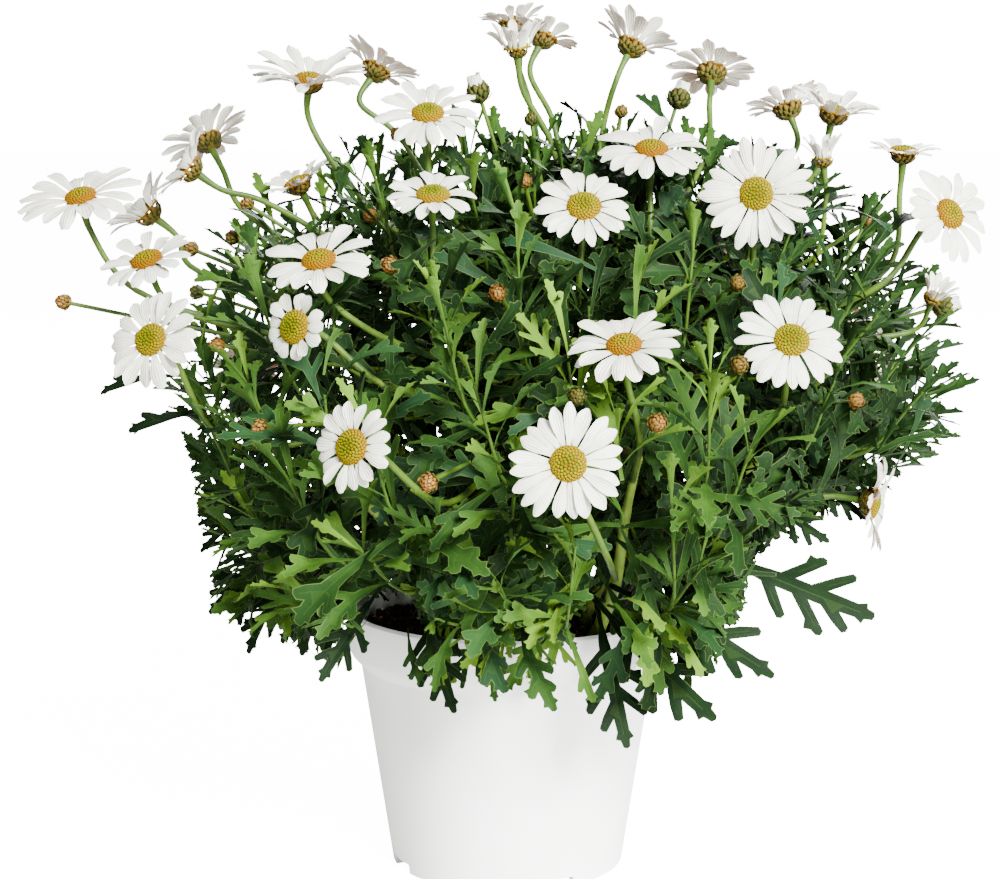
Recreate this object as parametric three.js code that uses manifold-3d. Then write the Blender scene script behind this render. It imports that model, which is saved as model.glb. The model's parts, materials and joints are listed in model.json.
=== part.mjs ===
// A marguerite daisy in its nursery pot.
// Millimetres, +Z up, -Y is the front, the origin is the middle of the pot's foot on the ground.
import * as THREE from 'three';
import * as BufferGeometryUtils from 'three/addons/utils/BufferGeometryUtils.js';
import Module from 'manifold-3d';

const wasm = await Module();
wasm.setup();

// Driving dimensions of the pot
const POT_HEIGHT = 139;
const RIM_DIAMETER = 170;
const FOOT_DIAMETER = 124;
const WALL = 1.8;
const RIM_BAND_HEIGHT = 21;
const RIM_STEP = 6.5;
const FLOOR_LIFT = 5;
const NOTCH_WIDTH = 18;
const NOTCH_HEIGHT = 5;
const DRAIN_DIAMETER = 10;
const SOIL_DROP = 13;
const CLEARANCE = 0.35;
const POT_SIDES = 32;
const SOIL_SIDES = 18;
const NOTCH_ANGLES = [-65, -155, -245, -335];
const DRAIN_ANGLES = [20, 110, 200, 290];
const DRAIN_CIRCLE = 34;

// Driving dimensions of the plant
const BUSH = { x: 37, y: 2, z: 252, rx: 203, ry: 205, rzUp: 150, rzDown: 150, power: 2.6 };
const CORE_SHARE = 0.53;
const CORE_LUMP = 0.11;
const CORE_SIDES = 12;
const CORE_ROWS = 8;
const FORK_HEIGHT = 176;
const LEAF_THICKNESS = 0.9;
const LEAF_LENGTH = 71;
const LEAF_FOLD = 0.25;
const LEAF_ARCH = 0.16;
const TUFT_LEAVES = 5;
const TUFT_HUB = 2.8;
const TUFT_TRIES = 14;
const TUFT_DEPTH = 0.66;
const LOWEST_RISE = 10;
const RISE_RANGE = 55;
const ROLL_RANGE = 1.7;
const SHOOTS = 46;
const SHOOT_RADIUS = 1.7;
const SKIRT = -0.8;
const HEAD_ROOM = 4;
const OPEN_VIEW = 34;
const GOLDEN_ANGLE = Math.PI * (3 - Math.sqrt(5));
const STALK_RADIUS = 1.6;
const STALK_SIDES = 4;
const CURVE_FRAMES = 60;
const BUD_RADIUS = 4.8;
const BUD_STALK_RADIUS = 1.1;
const RAY_COUNT = 10;
const SMALL_HEAD = 20;
const SMALL_RAY_COUNT = 8;
const RAY_THICKNESS = 0.8;
const DISC_RADIUS = 8.6;
const DISC_HEIGHT = 4.4;
const DISC_SIDES = 8;
const JOINED_DISC_SIDES = 5;
const DISC_SINK = 0.4;
const CUP_RADIUS = 6.6;
const CUP_HEIGHT = 6;

const COLOURS = {
  pot: { color: 0xeeeeec, roughness: 0.38, metalness: 0 },
  soil: { color: 0x2b211a, roughness: 0.95, metalness: 0 },
  green: { color: 0x3d6b2c, roughness: 0.6, metalness: 0 },
  ray: { color: 0xf8f8f4, roughness: 0.55, metalness: 0 },
  disc: { color: 0xe2ad12, roughness: 0.75, metalness: 0 },
};

// Heads: a name, the middle of the ring, the way it faces, its radius, how far the rays rise in
// degrees, the bend that its stalk passes, and whether its disc is a piece of its own
const HEADS = [
  ['01', [-219, -20, 357], [-0.15, -0.45, 0.88], 32, 4, [-193, -10, 308], true],
  ['02', [-192, 30, 346], [-0.75, -0.1, 0.65], 22, 38, [-169, 22, 318], false],
  ['03', [-180, -60, 328], [-0.25, -0.45, 0.86], 24, 6, [-166, -50, 302], true],
  ['04', [-173, -100, 293], [-0.35, -0.85, 0.4], 26, 2, [-140, -72, 238], true],
  ['05', [-163, 60, 383], [-0.45, 0.45, 0.77], 26, 12, [-142, 40, 346], false],
  ['06', [-165, -4, 371], [-0.82, -0.1, 0.56], 21, 32, [-128, 0, 354], false],
  ['07', [-102, -10, 416], [0.05, -0.32, 0.95], 31, 20, [-80, -10, 361], true],
  ['08', [-70, 45, 421], [0.45, 0.35, 0.82], 22, 26, [-60, 38, 388], false],
  ['09', [-40, -45, 400], [0, -0.55, 0.83], 27, 4, [-39, -40, 368], true],
  ['11', [-110, 12, 362], [-0.4, -0.15, 0.9], 19, 24, [-100, 4, 339], false],
  ['12', [-89, -130, 334], [-0.1, -0.52, 0.85], 27, 5, [-62, -108, 296], true],
  ['13', [-99, -150, 305], [-0.53, -0.8, 0.25], 17, 6, [-60, -132, 276], true],
  ['14', [-36, -105, 363], [0.02, -0.43, 0.9], 22, 4, [-33, -100, 310], true],
  ['15', [5, 6, 432], [-0.12, -0.08, 1], 15, 58, [24, 10, 380], false],
  ['16', [3, 92, 446], [-0.1, 0.15, 0.98], 19, 30, [13, 72, 400], false],
  ['17', [19, 52, 438], [0.35, 0.3, 0.88], 20, 24, [25, 46, 392], false],
  ['18', [66, 35, 434], [0.4, 0.35, 0.84], 23, 36, [51, 30, 392], false],
  ['19', [71, -60, 383], [0, -0.43, 0.9], 29, 5, [70, -58, 334], true],
  ['20', [108, 30, 420], [0.1, 0.6, 0.79], 24, 10, [105, 18, 380], false],
  ['22', [150, 44, 401], [-0.25, 0.35, 0.9], 22, 24, [148, 30, 372], false],
  ['23', [167, -14, 400], [0.2, -0.15, 0.96], 23, 32, [158, -12, 368], false],
  ['24', [120, -90, 363], [-0.05, -0.97, 0.2], 28, 3, [118, -62, 308], true],
  ['25', [157, -52, 378], [-0.1, -0.1, 1], 9, 66, [152, -44, 322], false],
  ['26', [208, 15, 378], [0.05, -0.1, 0.99], 19, 20, [200, 8, 318], false],
  ['27', [222, -45, 350], [0.5, -0.75, 0.42], 26, 4, [191, -34, 314], true],
  ['28', [214, -52, 309], [0.3, -0.45, 0.84], 9, 62, [176, -44, 286], false],
  ['29', [36, -110, 358], [0, -0.76, 0.65], 24, 3, [34, -96, 318], true],
  ['30', [52, -180, 300], [-0.1, -0.49, 0.87], 27, 4, [60, -166, 258], true],
  ['31', [130, -160, 300], [0, -0.84, 0.54], 26, 3, [128, -130, 262], true],
  ['32', [26, -215, 252], [0, -0.96, 0.28], 27, 2, [44, -172, 204], true],
  ['33', [183, -70, 207], [0.9, -0.32, -0.1], 25, 18, [112, -72, 208], false],
  ['34', [-70, -200, 257], [-0.5, -0.82, 0.27], 21, 4, [-32, -160, 224], true],
  ['35', [-120, 160, 312], [-0.35, 0.6, 0.72], 27, 5, [-100, 134, 280], false],
  ['36', [-40, 205, 290], [-0.1, 0.8, 0.6], 28, 4, [-30, 164, 254], false],
  ['37', [62, 212, 262], [0.1, 0.92, 0.36], 27, 5, [54, 166, 232], false],
  ['38', [140, 160, 318], [0.35, 0.6, 0.72], 28, 4, [122, 134, 284], false],
  ['39', [26, 138, 352], [0, 0.5, 0.86], 28, 5, [24, 116, 318], false],
  ['40', [-148, 122, 252], [-0.6, 0.75, 0.25], 25, 3, [-116, 96, 236], false],
  ['41', [204, 120, 262], [0.6, 0.72, 0.34], 27, 4, [172, 96, 240], false],
  ['42', [128, 206, 204], [0.25, 0.95, 0.15], 24, 3, [106, 158, 196], false],
  ['43', [-80, 208, 214], [-0.3, 0.94, 0.15], 25, 4, [-62, 162, 208], false],
].map(([id, at, face, radius, rise, bend, ownDisc]) => ({ id, at, face, radius, rise, bend, ownDisc }));

// Closed buds on short stalks: the middle of each
const BUDS = [
  [-227, -30, 304], [-163, -16, 330], [-140, -30, 337], [-135, -4, 352], [-57, 0, 388],
  [-68, -60, 350], [-56, -120, 331], [-141, -96, 290], [-5, -160, 322], [-116, -150, 258],
  [-36, -200, 241], [12, -14, 396], [8, -78, 368], [58, -14, 400], [107, -136, 324],
  [182, -34, 345], [105, -170, 290], [165, -124, 267], [66, -200, 268],
  [30, -200, 280], [-15, -20, 410], [90, 22, 406], [226, -12, 300], [-60, 120, 348],
  [90, 130, 350], [-170, 60, 300], [0, 222, 232], [176, 150, 290],
];

// Large single leaves low on the plant: where each grows from, its tip, and its roll
const SINGLE_LEAVES = [
  { from: [104, -66, 190], to: [182, -72, 166], roll: 0.3 },
  { from: [50, -84, 168], to: [128, -126, 132], roll: -0.3 },
  { from: [40, -80, 164], to: [100, -130, 112], roll: 0.2 },
  { from: [44, -82, 160], to: [58, -124, 96], roll: -0.2 },
  { from: [-40, -84, 170], to: [-26, -118, 112], roll: 0.2 },
  { from: [-62, -78, 168], to: [-92, -112, 126], roll: -0.3 },
];

// Small helpers

const UP = new THREE.Vector3(0, 0, 1);
const vector = ([x, y, z]) => new THREE.Vector3(x, y, z);
const radians = THREE.MathUtils.degToRad;

function turnFlat([x, y], angle) {
  return [x * Math.cos(angle) - y * Math.sin(angle), x * Math.sin(angle) + y * Math.cos(angle)];
}

// Repeatable draws between 0 and 1
function makeDraw(seed) {
  let state = seed;
  return () => {
    state = (state * 16807) % 2147483647;
    return state / 2147483647;
  };
}

function toSolid(geometry) {
  const bare = geometry.index ? geometry.toNonIndexed() : geometry.clone();
  bare.deleteAttribute('normal');
  bare.deleteAttribute('uv');
  const merged = BufferGeometryUtils.mergeVertices(bare, 1e-3);
  const vertProperties = new Float32Array(merged.attributes.position.array);
  const triVerts = new Uint32Array(merged.index.array);
  return new wasm.Manifold(new wasm.Mesh({ numProp: 3, vertProperties, triVerts }));
}

function join(solids) {
  let round = solids;
  while (round.length > 1) {
    const next = [];
    for (let i = 0; i < round.length; i += 2) {
      next.push(i + 1 < round.length ? round[i].add(round[i + 1]) : round[i]);
    }
    round = next;
  }
  return round[0];
}

// Back to a geometry, keeping the one body with the most triangles
function toGeometry(solid) {
  const mesh = solid.getMesh();
  const corners = mesh.triVerts;
  const owner = Array.from({ length: mesh.vertProperties.length / 3 }, (_, i) => i);
  const find = (i) => {
    while (owner[i] !== i) {
      owner[i] = owner[owner[i]];
      i = owner[i];
    }
    return i;
  };
  for (let t = 0; t < corners.length; t += 3) {
    owner[find(corners[t + 1])] = find(corners[t]);
    owner[find(corners[t + 2])] = find(corners[t]);
  }
  const sizes = new Map();
  for (let t = 0; t < corners.length; t += 3) {
    const body = find(corners[t]);
    sizes.set(body, (sizes.get(body) ?? 0) + 1);
  }
  const largest = [...sizes].sort((a, b) => b[1] - a[1])[0][0];
  const kept = [];
  for (let t = 0; t < corners.length; t += 3) {
    if (find(corners[t]) === largest) kept.push(corners[t], corners[t + 1], corners[t + 2]);
  }
  const geometry = new THREE.BufferGeometry();
  geometry.setAttribute('position', new THREE.BufferAttribute(mesh.vertProperties, 3));
  geometry.setIndex(kept);
  return BufferGeometryUtils.mergeVertices(geometry.toNonIndexed(), 1e-4);
}

function lathe(points, segments) {
  const geometry = new THREE.LatheGeometry(points.map(([r, z]) => new THREE.Vector2(r, z)), segments);
  return geometry.rotateX(Math.PI / 2);
}

// A plate of constant thickness from a flat outline, with its middle layer at z = 0
function plate(outline, thickness) {
  const shape = new THREE.Shape(outline.map(([x, y]) => new THREE.Vector2(x, y)));
  const geometry = new THREE.ExtrudeGeometry(shape, { depth: thickness, bevelEnabled: false, steps: 1 });
  return geometry.translate(0, 0, -thickness / 2);
}

function bendPoints(geometry, change) {
  const position = geometry.attributes.position;
  const point = new THREE.Vector3();
  for (let i = 0; i < position.count; i++) {
    point.fromBufferAttribute(position, i);
    change(point);
    position.setXYZ(i, point.x, point.y, point.z);
  }
  return geometry;
}

function rod(points, radius, sides, steps) {
  const section = new THREE.Shape();
  for (let i = 0; i < sides; i++) {
    const angle = (2 * Math.PI * i) / sides;
    const corner = [radius * Math.cos(angle), radius * Math.sin(angle)];
    if (i === 0) section.moveTo(...corner);
    else section.lineTo(...corner);
  }
  const curve = new THREE.CatmullRomCurve3(points);
  return new THREE.ExtrudeGeometry(section, { extrudePath: curve, steps, bevelEnabled: false });
}

// A frame whose z axis is the given direction
function frameAlong(origin, direction, roll = 0) {
  const turn = new THREE.Quaternion().setFromUnitVectors(UP, direction.clone().normalize());
  const spin = new THREE.Quaternion().setFromAxisAngle(UP, roll);
  return new THREE.Matrix4().compose(origin, turn.multiply(spin), new THREE.Vector3(1, 1, 1));
}

// The pot

const footRadius = FOOT_DIAMETER / 2;
const rimRadius = RIM_DIAMETER / 2;
const shoulderRadius = rimRadius - RIM_STEP;
const bandFoot = POT_HEIGHT - RIM_BAND_HEIGHT;
const chamferFoot = bandFoot - 9;
const innerFloorRadius = footRadius + 0.5 - WALL;

function potBody() {
  const outline = [
    [0, FLOOR_LIFT], [footRadius - 2.5 * WALL, FLOOR_LIFT], [footRadius - 2.5 * WALL, 0], [footRadius, 0],
    [shoulderRadius, chamferFoot], [rimRadius - 1.5, bandFoot - 3.5], [rimRadius, bandFoot],
    [rimRadius, POT_HEIGHT - 1.5], [rimRadius - 1, POT_HEIGHT], [rimRadius - WALL, POT_HEIGHT],
    [rimRadius - WALL - 0.2, bandFoot], [shoulderRadius - WALL, chamferFoot],
    [innerFloorRadius, FLOOR_LIFT + WALL], [0, FLOOR_LIFT + WALL],
  ];
  let body = toSolid(lathe(outline, POT_SIDES));
  for (const degrees of NOTCH_ANGLES) {
    const notch = new THREE.BoxGeometry(24, NOTCH_WIDTH, 2 * NOTCH_HEIGHT);
    notch.translate(footRadius - 1, 0, 0);
    notch.rotateZ(radians(degrees));
    body = body.subtract(toSolid(notch));
  }
  const drainPlaces = [[0, 0]];
  for (const degrees of DRAIN_ANGLES) {
    drainPlaces.push(turnFlat([DRAIN_CIRCLE, 0], radians(degrees)));
  }
  for (const [x, y] of drainPlaces) {
    const drain = new THREE.CylinderGeometry(DRAIN_DIAMETER / 2, DRAIN_DIAMETER / 2, 30, 6);
    drain.rotateX(Math.PI / 2).translate(x, y, FLOOR_LIFT);
    body = body.subtract(toSolid(drain));
  }
  return toGeometry(body);
}

// Main stems: foot in the soil, top of the fork that each one reaches
const soilTop = POT_HEIGHT - SOIL_DROP;
const MAIN_STEMS = [
  { foot: [30, -34, 96], top: [52, -128, 226], radius: 4 },
  { foot: [-30, -26, 96], top: [-96, -88, 236], radius: 3.6 },
  { foot: [-28, 32, 96], top: [-78, 104, 240], radius: 3.6 },
  { foot: [34, 32, 96], top: [112, 108, 238], radius: 4 },
  { foot: [44, -4, 96], top: [142, -56, 236], radius: 4 },
  { foot: [2, 4, 96], top: [14, 6, 300], radius: 4.4 },
];

// A straight foot that stands in the soil, and a slanting length from its collar to the core
function mainStemBody({ foot, top, radius }) {
  const collar = POT_HEIGHT + 2;
  const height = collar - foot[2];
  const straight = new THREE.CylinderGeometry(radius, radius, height, 6);
  straight.rotateX(Math.PI / 2).translate(foot[0], foot[1], foot[2] + height / 2);
  const slant = rod([new THREE.Vector3(foot[0], foot[1], collar - 3), vector(top)], 0.94 * radius, 5, 1);
  return toSolid(straight).add(toSolid(slant));
}

function soilBody() {
  const gap = CLEARANCE;
  const innerWall = (z) => {
    const low = FLOOR_LIFT + WALL;
    const share = (z - low) / (chamferFoot - low);
    return innerFloorRadius + share * (shoulderRadius - WALL - innerFloorRadius);
  };
  const top = rimRadius - WALL - 0.2 - 2 * gap;
  const outline = [
    [0, FLOOR_LIFT + WALL + gap], [innerFloorRadius - 2 * gap, FLOOR_LIFT + WALL + gap],
    [innerWall(chamferFoot) - 2 * gap, chamferFoot], [top, bandFoot + 1], [top, soilTop - 3],
    [0.6 * top, soilTop + 0.5], [0, soilTop + 3],
  ];
  const ground = bendPoints(lathe(outline, SOIL_SIDES), (point) => {
    const across = Math.hypot(point.x, point.y);
    if (point.z > soilTop - 2 && across < 0.9 * top) {
      point.z += 0.9 * Math.sin(point.x / 9) * Math.cos(point.y / 11);
    }
  });
  let body = toSolid(ground);
  for (const { foot, radius } of MAIN_STEMS) {
    const hole = new THREE.CylinderGeometry(radius + 2 * gap, radius + 2 * gap, 80, 6);
    hole.rotateX(Math.PI / 2).translate(foot[0], foot[1], foot[2] - gap + 40);
    body = body.subtract(toSolid(hole));
  }
  return toGeometry(body);
}

// The bush: a rounded box in which the shoots end

function bushReach(direction) {
  const rz = direction.z > 0 ? BUSH.rzUp : BUSH.rzDown;
  const shares = [direction.x / BUSH.rx, direction.y / BUSH.ry, direction.z / rz];
  const sum = shares.reduce((total, share) => total + Math.abs(share) ** BUSH.power, 0);
  return sum ** (-1 / BUSH.power);
}

const bushMiddle = new THREE.Vector3(BUSH.x, BUSH.y, BUSH.z);

function bushPoint(direction, share) {
  return bushMiddle.clone().addScaledVector(direction, share * bushReach(direction));
}

// The crumpled mass of twigs and inner leaves that the shoots stand out of
function coreBody() {
  const ball = new THREE.SphereGeometry(1, CORE_SIDES, CORE_ROWS);
  const lumpy = bendPoints(ball, (point) => {
    const direction = point.clone().normalize();
    const lump = Math.sin(11 * direction.x + 1) + Math.sin(13 * direction.y) + Math.sin(12 * direction.z);
    const place = bushPoint(direction, CORE_SHARE * (1 + CORE_LUMP * lump));
    place.z = Math.max(place.z, FORK_HEIGHT);
    point.copy(place);
  });
  return toSolid(lumpy);
}

// Leaves, flat at first: half outlines from the foot to the last notch, as shares of the length

const SMALL_LEAF = [[0.16, 0.79], [0.04, 0.62]];
const LARGE_LEAF = [[0.026, 0.34], [0.2, 0.6], [0.06, 0.58], [0.15, 0.86], [0.045, 0.78]];

function leafOutline(half, length) {
  const foot = 0.022 * length;
  const right = half.map(([x, y]) => [x * length, y * length]);
  const left = half.map(([x, y]) => [-x * length, y * length]).reverse();
  return [[foot, 0], ...right, [0, length], ...left, [-foot, 0]];
}

function singleLeaf({ from, to, roll }) {
  const root = vector(from);
  const along = vector(to).sub(root);
  const length = along.length();
  const flat = plate(leafOutline(LARGE_LEAF, length), LEAF_THICKNESS);
  bendPoints(flat, (point) => {
    const share = point.y / length;
    point.z += LEAF_FOLD * Math.abs(point.x) + LEAF_ARCH * length * share * (1 - share);
  });
  return flat.applyMatrix4(leafFrame(root, along, roll));
}

// A frame whose y axis runs along the leaf, with its face turned towards the sky and then rolled
function leafFrame(root, direction, roll) {
  const along = direction.clone().normalize();
  const sky = Math.abs(along.z) > 0.95 ? new THREE.Vector3(1, 0, 0) : new THREE.Vector3(0, 0, 1);
  const side = new THREE.Vector3().crossVectors(along, sky).normalize();
  const up = new THREE.Vector3().crossVectors(side, along);
  const basis = new THREE.Matrix4().makeBasis(side, along, up).setPosition(root);
  return basis.multiply(new THREE.Matrix4().makeRotationY(roll));
}

// The outline of a tuft: leaves set star-like round a small hub
function tuftOutline(length) {
  const step = (2 * Math.PI) / TUFT_LEAVES;
  const leaf = leafOutline(SMALL_LEAF, length).slice(1, -1);
  const outline = [];
  for (let i = 0; i < TUFT_LEAVES; i++) {
    outline.push(turnFlat([TUFT_HUB, 0], (i - 0.5) * step));
    for (const [across, along] of leaf) outline.push(turnFlat([along, -across], i * step));
  }
  return outline;
}

// A tuft is cut from one plate, and each leaf is then raised, arched and rolled in its own way
function leafTuft(draw, length) {
  const step = (2 * Math.PI) / TUFT_LEAVES;
  const ways = [];
  for (let i = 0; i < TUFT_LEAVES; i++) {
    const rise = radians(LOWEST_RISE + RISE_RANGE * draw());
    ways.push({ rise, roll: (draw() - 0.5) * ROLL_RANGE, stretch: 0.8 + 0.25 * draw() });
  }
  return bendPoints(plate(tuftOutline(length), LEAF_THICKNESS), (point) => {
    if (Math.hypot(point.x, point.y) < 1.5 * TUFT_HUB) return;
    const i = (Math.round(Math.atan2(point.y, point.x) / step) + TUFT_LEAVES) % TUFT_LEAVES;
    const { rise, roll, stretch } = ways[i];
    const [flatAlong, flatAcross] = turnFlat([point.x, point.y], -i * step);
    const along = flatAlong * stretch;
    const share = along / length;
    const lift = point.z + LEAF_FOLD * Math.abs(flatAcross) - LEAF_ARCH * length * share * share;
    const [across, above] = turnFlat([flatAcross, lift], roll);
    const [out, up] = turnFlat([along, above], rise);
    const [x, y] = turnFlat([out, across], i * step);
    point.set(x, y, up);
  });
}

// Places that leaves and shoots keep out of: the pot with its soil, and the space round each head
function isFree(point) {
  const across = Math.hypot(point.x, point.y);
  if (point.z < POT_HEIGHT + 2 && across < rimRadius + 3) return false;
  if (point.z < 60) return false;
  return HEADS.every(({ at, face, radius, rise }) => {
    const offset = point.clone().sub(vector(at));
    const normal = vector(face).normalize();
    const height = offset.dot(normal);
    const away = Math.sqrt(Math.max(offset.lengthSq() - height * height, 0));
    const top = OPEN_VIEW + radius * Math.sin(radians(rise));
    return away > radius + HEAD_ROOM || height < -HEAD_ROOM || height > top;
  });
}

function edgePoints(geometry) {
  const position = geometry.attributes.position;
  const points = [];
  for (let t = 0; t < position.count; t += 3) {
    const corners = [0, 1, 2].map((k) => new THREE.Vector3().fromBufferAttribute(position, t + k));
    for (let k = 0; k < 3; k++) {
      for (let s = 0; s < 4; s++) points.push(corners[k].clone().lerp(corners[(k + 1) % 3], s / 4));
    }
  }
  return points;
}

// What has grown so far, so that a new tuft can keep clear of it
const grown = [];

function grow(geometry) {
  const solid = toSolid(geometry);
  grown.push({ solid, box: new THREE.Box3().setFromBufferAttribute(geometry.attributes.position) });
  return solid;
}

function countCrossings(geometry) {
  const solid = toSolid(geometry);
  const box = new THREE.Box3().setFromBufferAttribute(geometry.attributes.position);
  return grown.filter((other) => other.box.intersectsBox(box))
    .filter((other) => !other.solid.intersect(solid).isEmpty()).length;
}

// The tuft with the fewest crossings of a few tries, or null where every try meets a head or the pot.
// Each new try is a little shorter, deeper in the bush and further from the first heading.
function freeTuft(draw, tip, outward) {
  let best = null;
  const fullLength = LEAF_LENGTH * (0.9 + 0.2 * draw());
  for (let attempt = 0; attempt < TUFT_TRIES && best?.count !== 0; attempt++) {
    const length = fullLength * (1 - 0.03 * attempt);
    const hub = tip.clone().addScaledVector(outward, -TUFT_DEPTH * fullLength - 1.5 * attempt);
    const sway = new THREE.Vector3(draw() - 0.5, draw() - 0.5, draw() - 0.5);
    sway.multiplyScalar(0.1 + 0.05 * attempt);
    const tuft = leafTuft(draw, length);
    tuft.applyMatrix4(frameAlong(hub, outward.clone().add(sway), 2 * Math.PI * draw()));
    if (!edgePoints(tuft).every(isFree)) continue;
    const count = countCrossings(tuft);
    if (best === null || count < best.count) best = { tuft, hub, count };
  }
  return best;
}

// Shoots end on the bush's surface along a spiral of even steps, from the top down to the skirt

function shootDirection(i) {
  const height = 1 - ((i + 0.5) / SHOOTS) * (1 - SKIRT);
  const across = Math.sqrt(1 - height * height);
  const angle = i * GOLDEN_ANGLE;
  return new THREE.Vector3(across * Math.cos(angle), across * Math.sin(angle), height);
}

// One shoot: a stem from the core with a tuft of leaves at its end
function shootBodies(i, draw) {
  const direction = shootDirection(i);
  const tip = bushPoint(direction, 0.94 + 0.08 * draw());
  const start = bushPoint(direction, CORE_SHARE - 0.1);
  const outward = tip.clone().sub(start).normalize();
  const best = freeTuft(draw, tip, outward);
  if (best === null) return [];
  const stem = rod([start, best.hub], SHOOT_RADIUS, 3, 1);
  if (!edgePoints(stem).every(isFree)) return [];
  grow(best.tuft);
  return [toSolid(best.tuft), toSolid(stem)];
}

// Flower stalks, cups and buds

// A turned body along a curve: the outline gives each radius with its share of the curve's length
function turnedAlong(curve, outline, sides) {
  const straight = lathe(outline, sides);
  const frames = curve.computeFrenetFrames(CURVE_FRAMES);
  return bendPoints(straight, (point) => {
    const share = Math.min(Math.max(point.z, 0), 1);
    const k = Math.round(share * CURVE_FRAMES);
    const place = curve.getPointAt(share);
    place.addScaledVector(frames.normals[k], point.x).addScaledVector(frames.binormals[k], point.y);
    point.copy(place);
  });
}

// A flower stalk that widens into the cup of bracts under the head
function stalkBody({ at, face, bend }) {
  const head = vector(at);
  const normal = vector(face).normalize();
  const top = head.clone().addScaledVector(normal, -RAY_THICKNESS - CLEARANCE);
  const below = head.clone().addScaledVector(normal, -CUP_HEIGHT - 14);
  const bendPoint = vector(bend);
  const root = bushPoint(bendPoint.clone().sub(bushMiddle).normalize(), CORE_SHARE - 0.12);
  const curve = new THREE.CatmullRomCurve3([root, bendPoint, below, top]);
  const reach = curve.getLength();
  const cupFoot = 1 - CUP_HEIGHT / reach;
  const bendShare = 1 - (bendPoint.distanceTo(below) + below.distanceTo(top)) / reach;
  const outline = [
    [0, 0], [STALK_RADIUS, 0], [STALK_RADIUS, bendShare], [STALK_RADIUS, 1 - 18 / reach],
    [STALK_RADIUS, cupFoot - 1 / reach], [CUP_RADIUS, 1 - 1.5 / reach], [0.95 * CUP_RADIUS, 1], [0, 1],
  ];
  return grow(turnedAlong(curve, outline, STALK_SIDES));
}

function budBody(place) {
  const at = vector(place);
  const direction = at.clone().sub(bushMiddle).normalize();
  const root = bushPoint(direction, CORE_SHARE - 0.1);
  const top = at.clone().addScaledVector(direction, BUD_RADIUS);
  const curve = new THREE.LineCurve3(root, top);
  const reach = curve.getLength();
  const outline = [
    [0, 0], [BUD_STALK_RADIUS, 0], [BUD_STALK_RADIUS, 1 - 2 * BUD_RADIUS / reach],
    [BUD_RADIUS, 1 - BUD_RADIUS / reach], [0.6 * BUD_RADIUS, 1], [0, 1],
  ];
  return grow(turnedAlong(curve, outline, STALK_SIDES));
}

function plantBody() {
  const bodies = [coreBody()];
  for (const stem of MAIN_STEMS) bodies.push(mainStemBody(stem));
  for (const head of HEADS) bodies.push(stalkBody(head));
  for (const place of BUDS) bodies.push(budBody(place));
  for (const leaf of SINGLE_LEAVES) bodies.push(grow(singleLeaf(leaf)));
  const draw = makeDraw(4251);
  for (let i = 0; i < SHOOTS; i++) bodies.push(...shootBodies(i, draw));
  return toGeometry(join(bodies));
}

// Heads

const hubRadius = DISC_RADIUS + 0.4;

function rayOutline(radius) {
  const points = [];
  const count = radius > SMALL_HEAD ? RAY_COUNT : SMALL_RAY_COUNT;
  const hub = Math.min(hubRadius, 0.55 * radius);
  for (let i = 0; i < count; i++) {
    const middle = (2 * Math.PI * i) / count;
    const half = Math.PI / count;
    const reach = radius * (1 - 0.06 * (i % 2));
    points.push([hub * Math.cos(middle - half), hub * Math.sin(middle - half)]);
    points.push([reach * Math.cos(middle - 0.62 * half), reach * Math.sin(middle - 0.62 * half)]);
    points.push([reach * Math.cos(middle + 0.5 * half), reach * Math.sin(middle + 0.5 * half)]);
  }
  return points;
}

// A head lies flat with its face up and is then turned to where it looks, each with a spin of its own
function headFrame({ at, face, id }) {
  return frameAlong(vector(at), vector(face), Number(id));
}

function rayRing({ radius, rise }) {
  const hub = Math.min(hubRadius, 0.55 * radius);
  const flatRadius = hub + (radius - hub) / Math.cos(radians(rise));
  const ring = plate(rayOutline(flatRadius), RAY_THICKNESS).translate(0, 0, -RAY_THICKNESS / 2);
  return bendPoints(ring, (point) => {
    const across = Math.hypot(point.x, point.y);
    if (across < hub + 0.1) return;
    const run = (across - hub) * Math.cos(radians(rise));
    const scale = (hub + run) / across;
    point.set(point.x * scale, point.y * scale, point.z + (across - hub) * Math.sin(radians(rise)));
  });
}

function discDome({ radius }, foot, sides) {
  const r = Math.min(DISC_RADIUS, 0.5 * radius);
  const h = DISC_HEIGHT * (r / DISC_RADIUS);
  return lathe([[0, foot], [r, foot], [0.78 * r, 0.8 * h], [0, h]], sides);
}

// Assembly

function addPiece(parent, name, geometry, look) {
  const mesh = new THREE.Mesh(geometry, new THREE.MeshStandardMaterial(look));
  mesh.name = name;
  parent.add(mesh);
}

const daisy = new THREE.Group();
addPiece(daisy, 'pot', potBody(), COLOURS.pot);
addPiece(daisy, 'soil', soilBody(), COLOURS.soil);
addPiece(daisy, 'leafy_plant', plantBody(), COLOURS.green);
for (const head of HEADS) {
  const name = `bloom_${head.id}`;
  const ring = rayRing(head);
  if (head.ownDisc) {
    addPiece(daisy, `${name}_rays`, ring.applyMatrix4(headFrame(head)), COLOURS.ray);
    const disc = discDome(head, CLEARANCE, DISC_SIDES).applyMatrix4(headFrame(head));
    addPiece(daisy, `${name}_disc`, disc, COLOURS.disc);
  } else {
    const whole = toGeometry(toSolid(ring).add(toSolid(discDome(head, -DISC_SINK, JOINED_DISC_SIDES))));
    addPiece(daisy, `${name}_rays`, whole.applyMatrix4(headFrame(head)), COLOURS.ray);
  }
}

export default daisy;
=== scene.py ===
"""A marguerite daisy in bloom in its white nursery pot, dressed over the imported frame.

Lengths are millimetres until a mesh is made, +Z is up and -Y is the front.
"""
import json
import math
import random

import bmesh
import bpy
from mathutils import Euler, Matrix, Quaternion, Vector, geometry, noise

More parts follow.
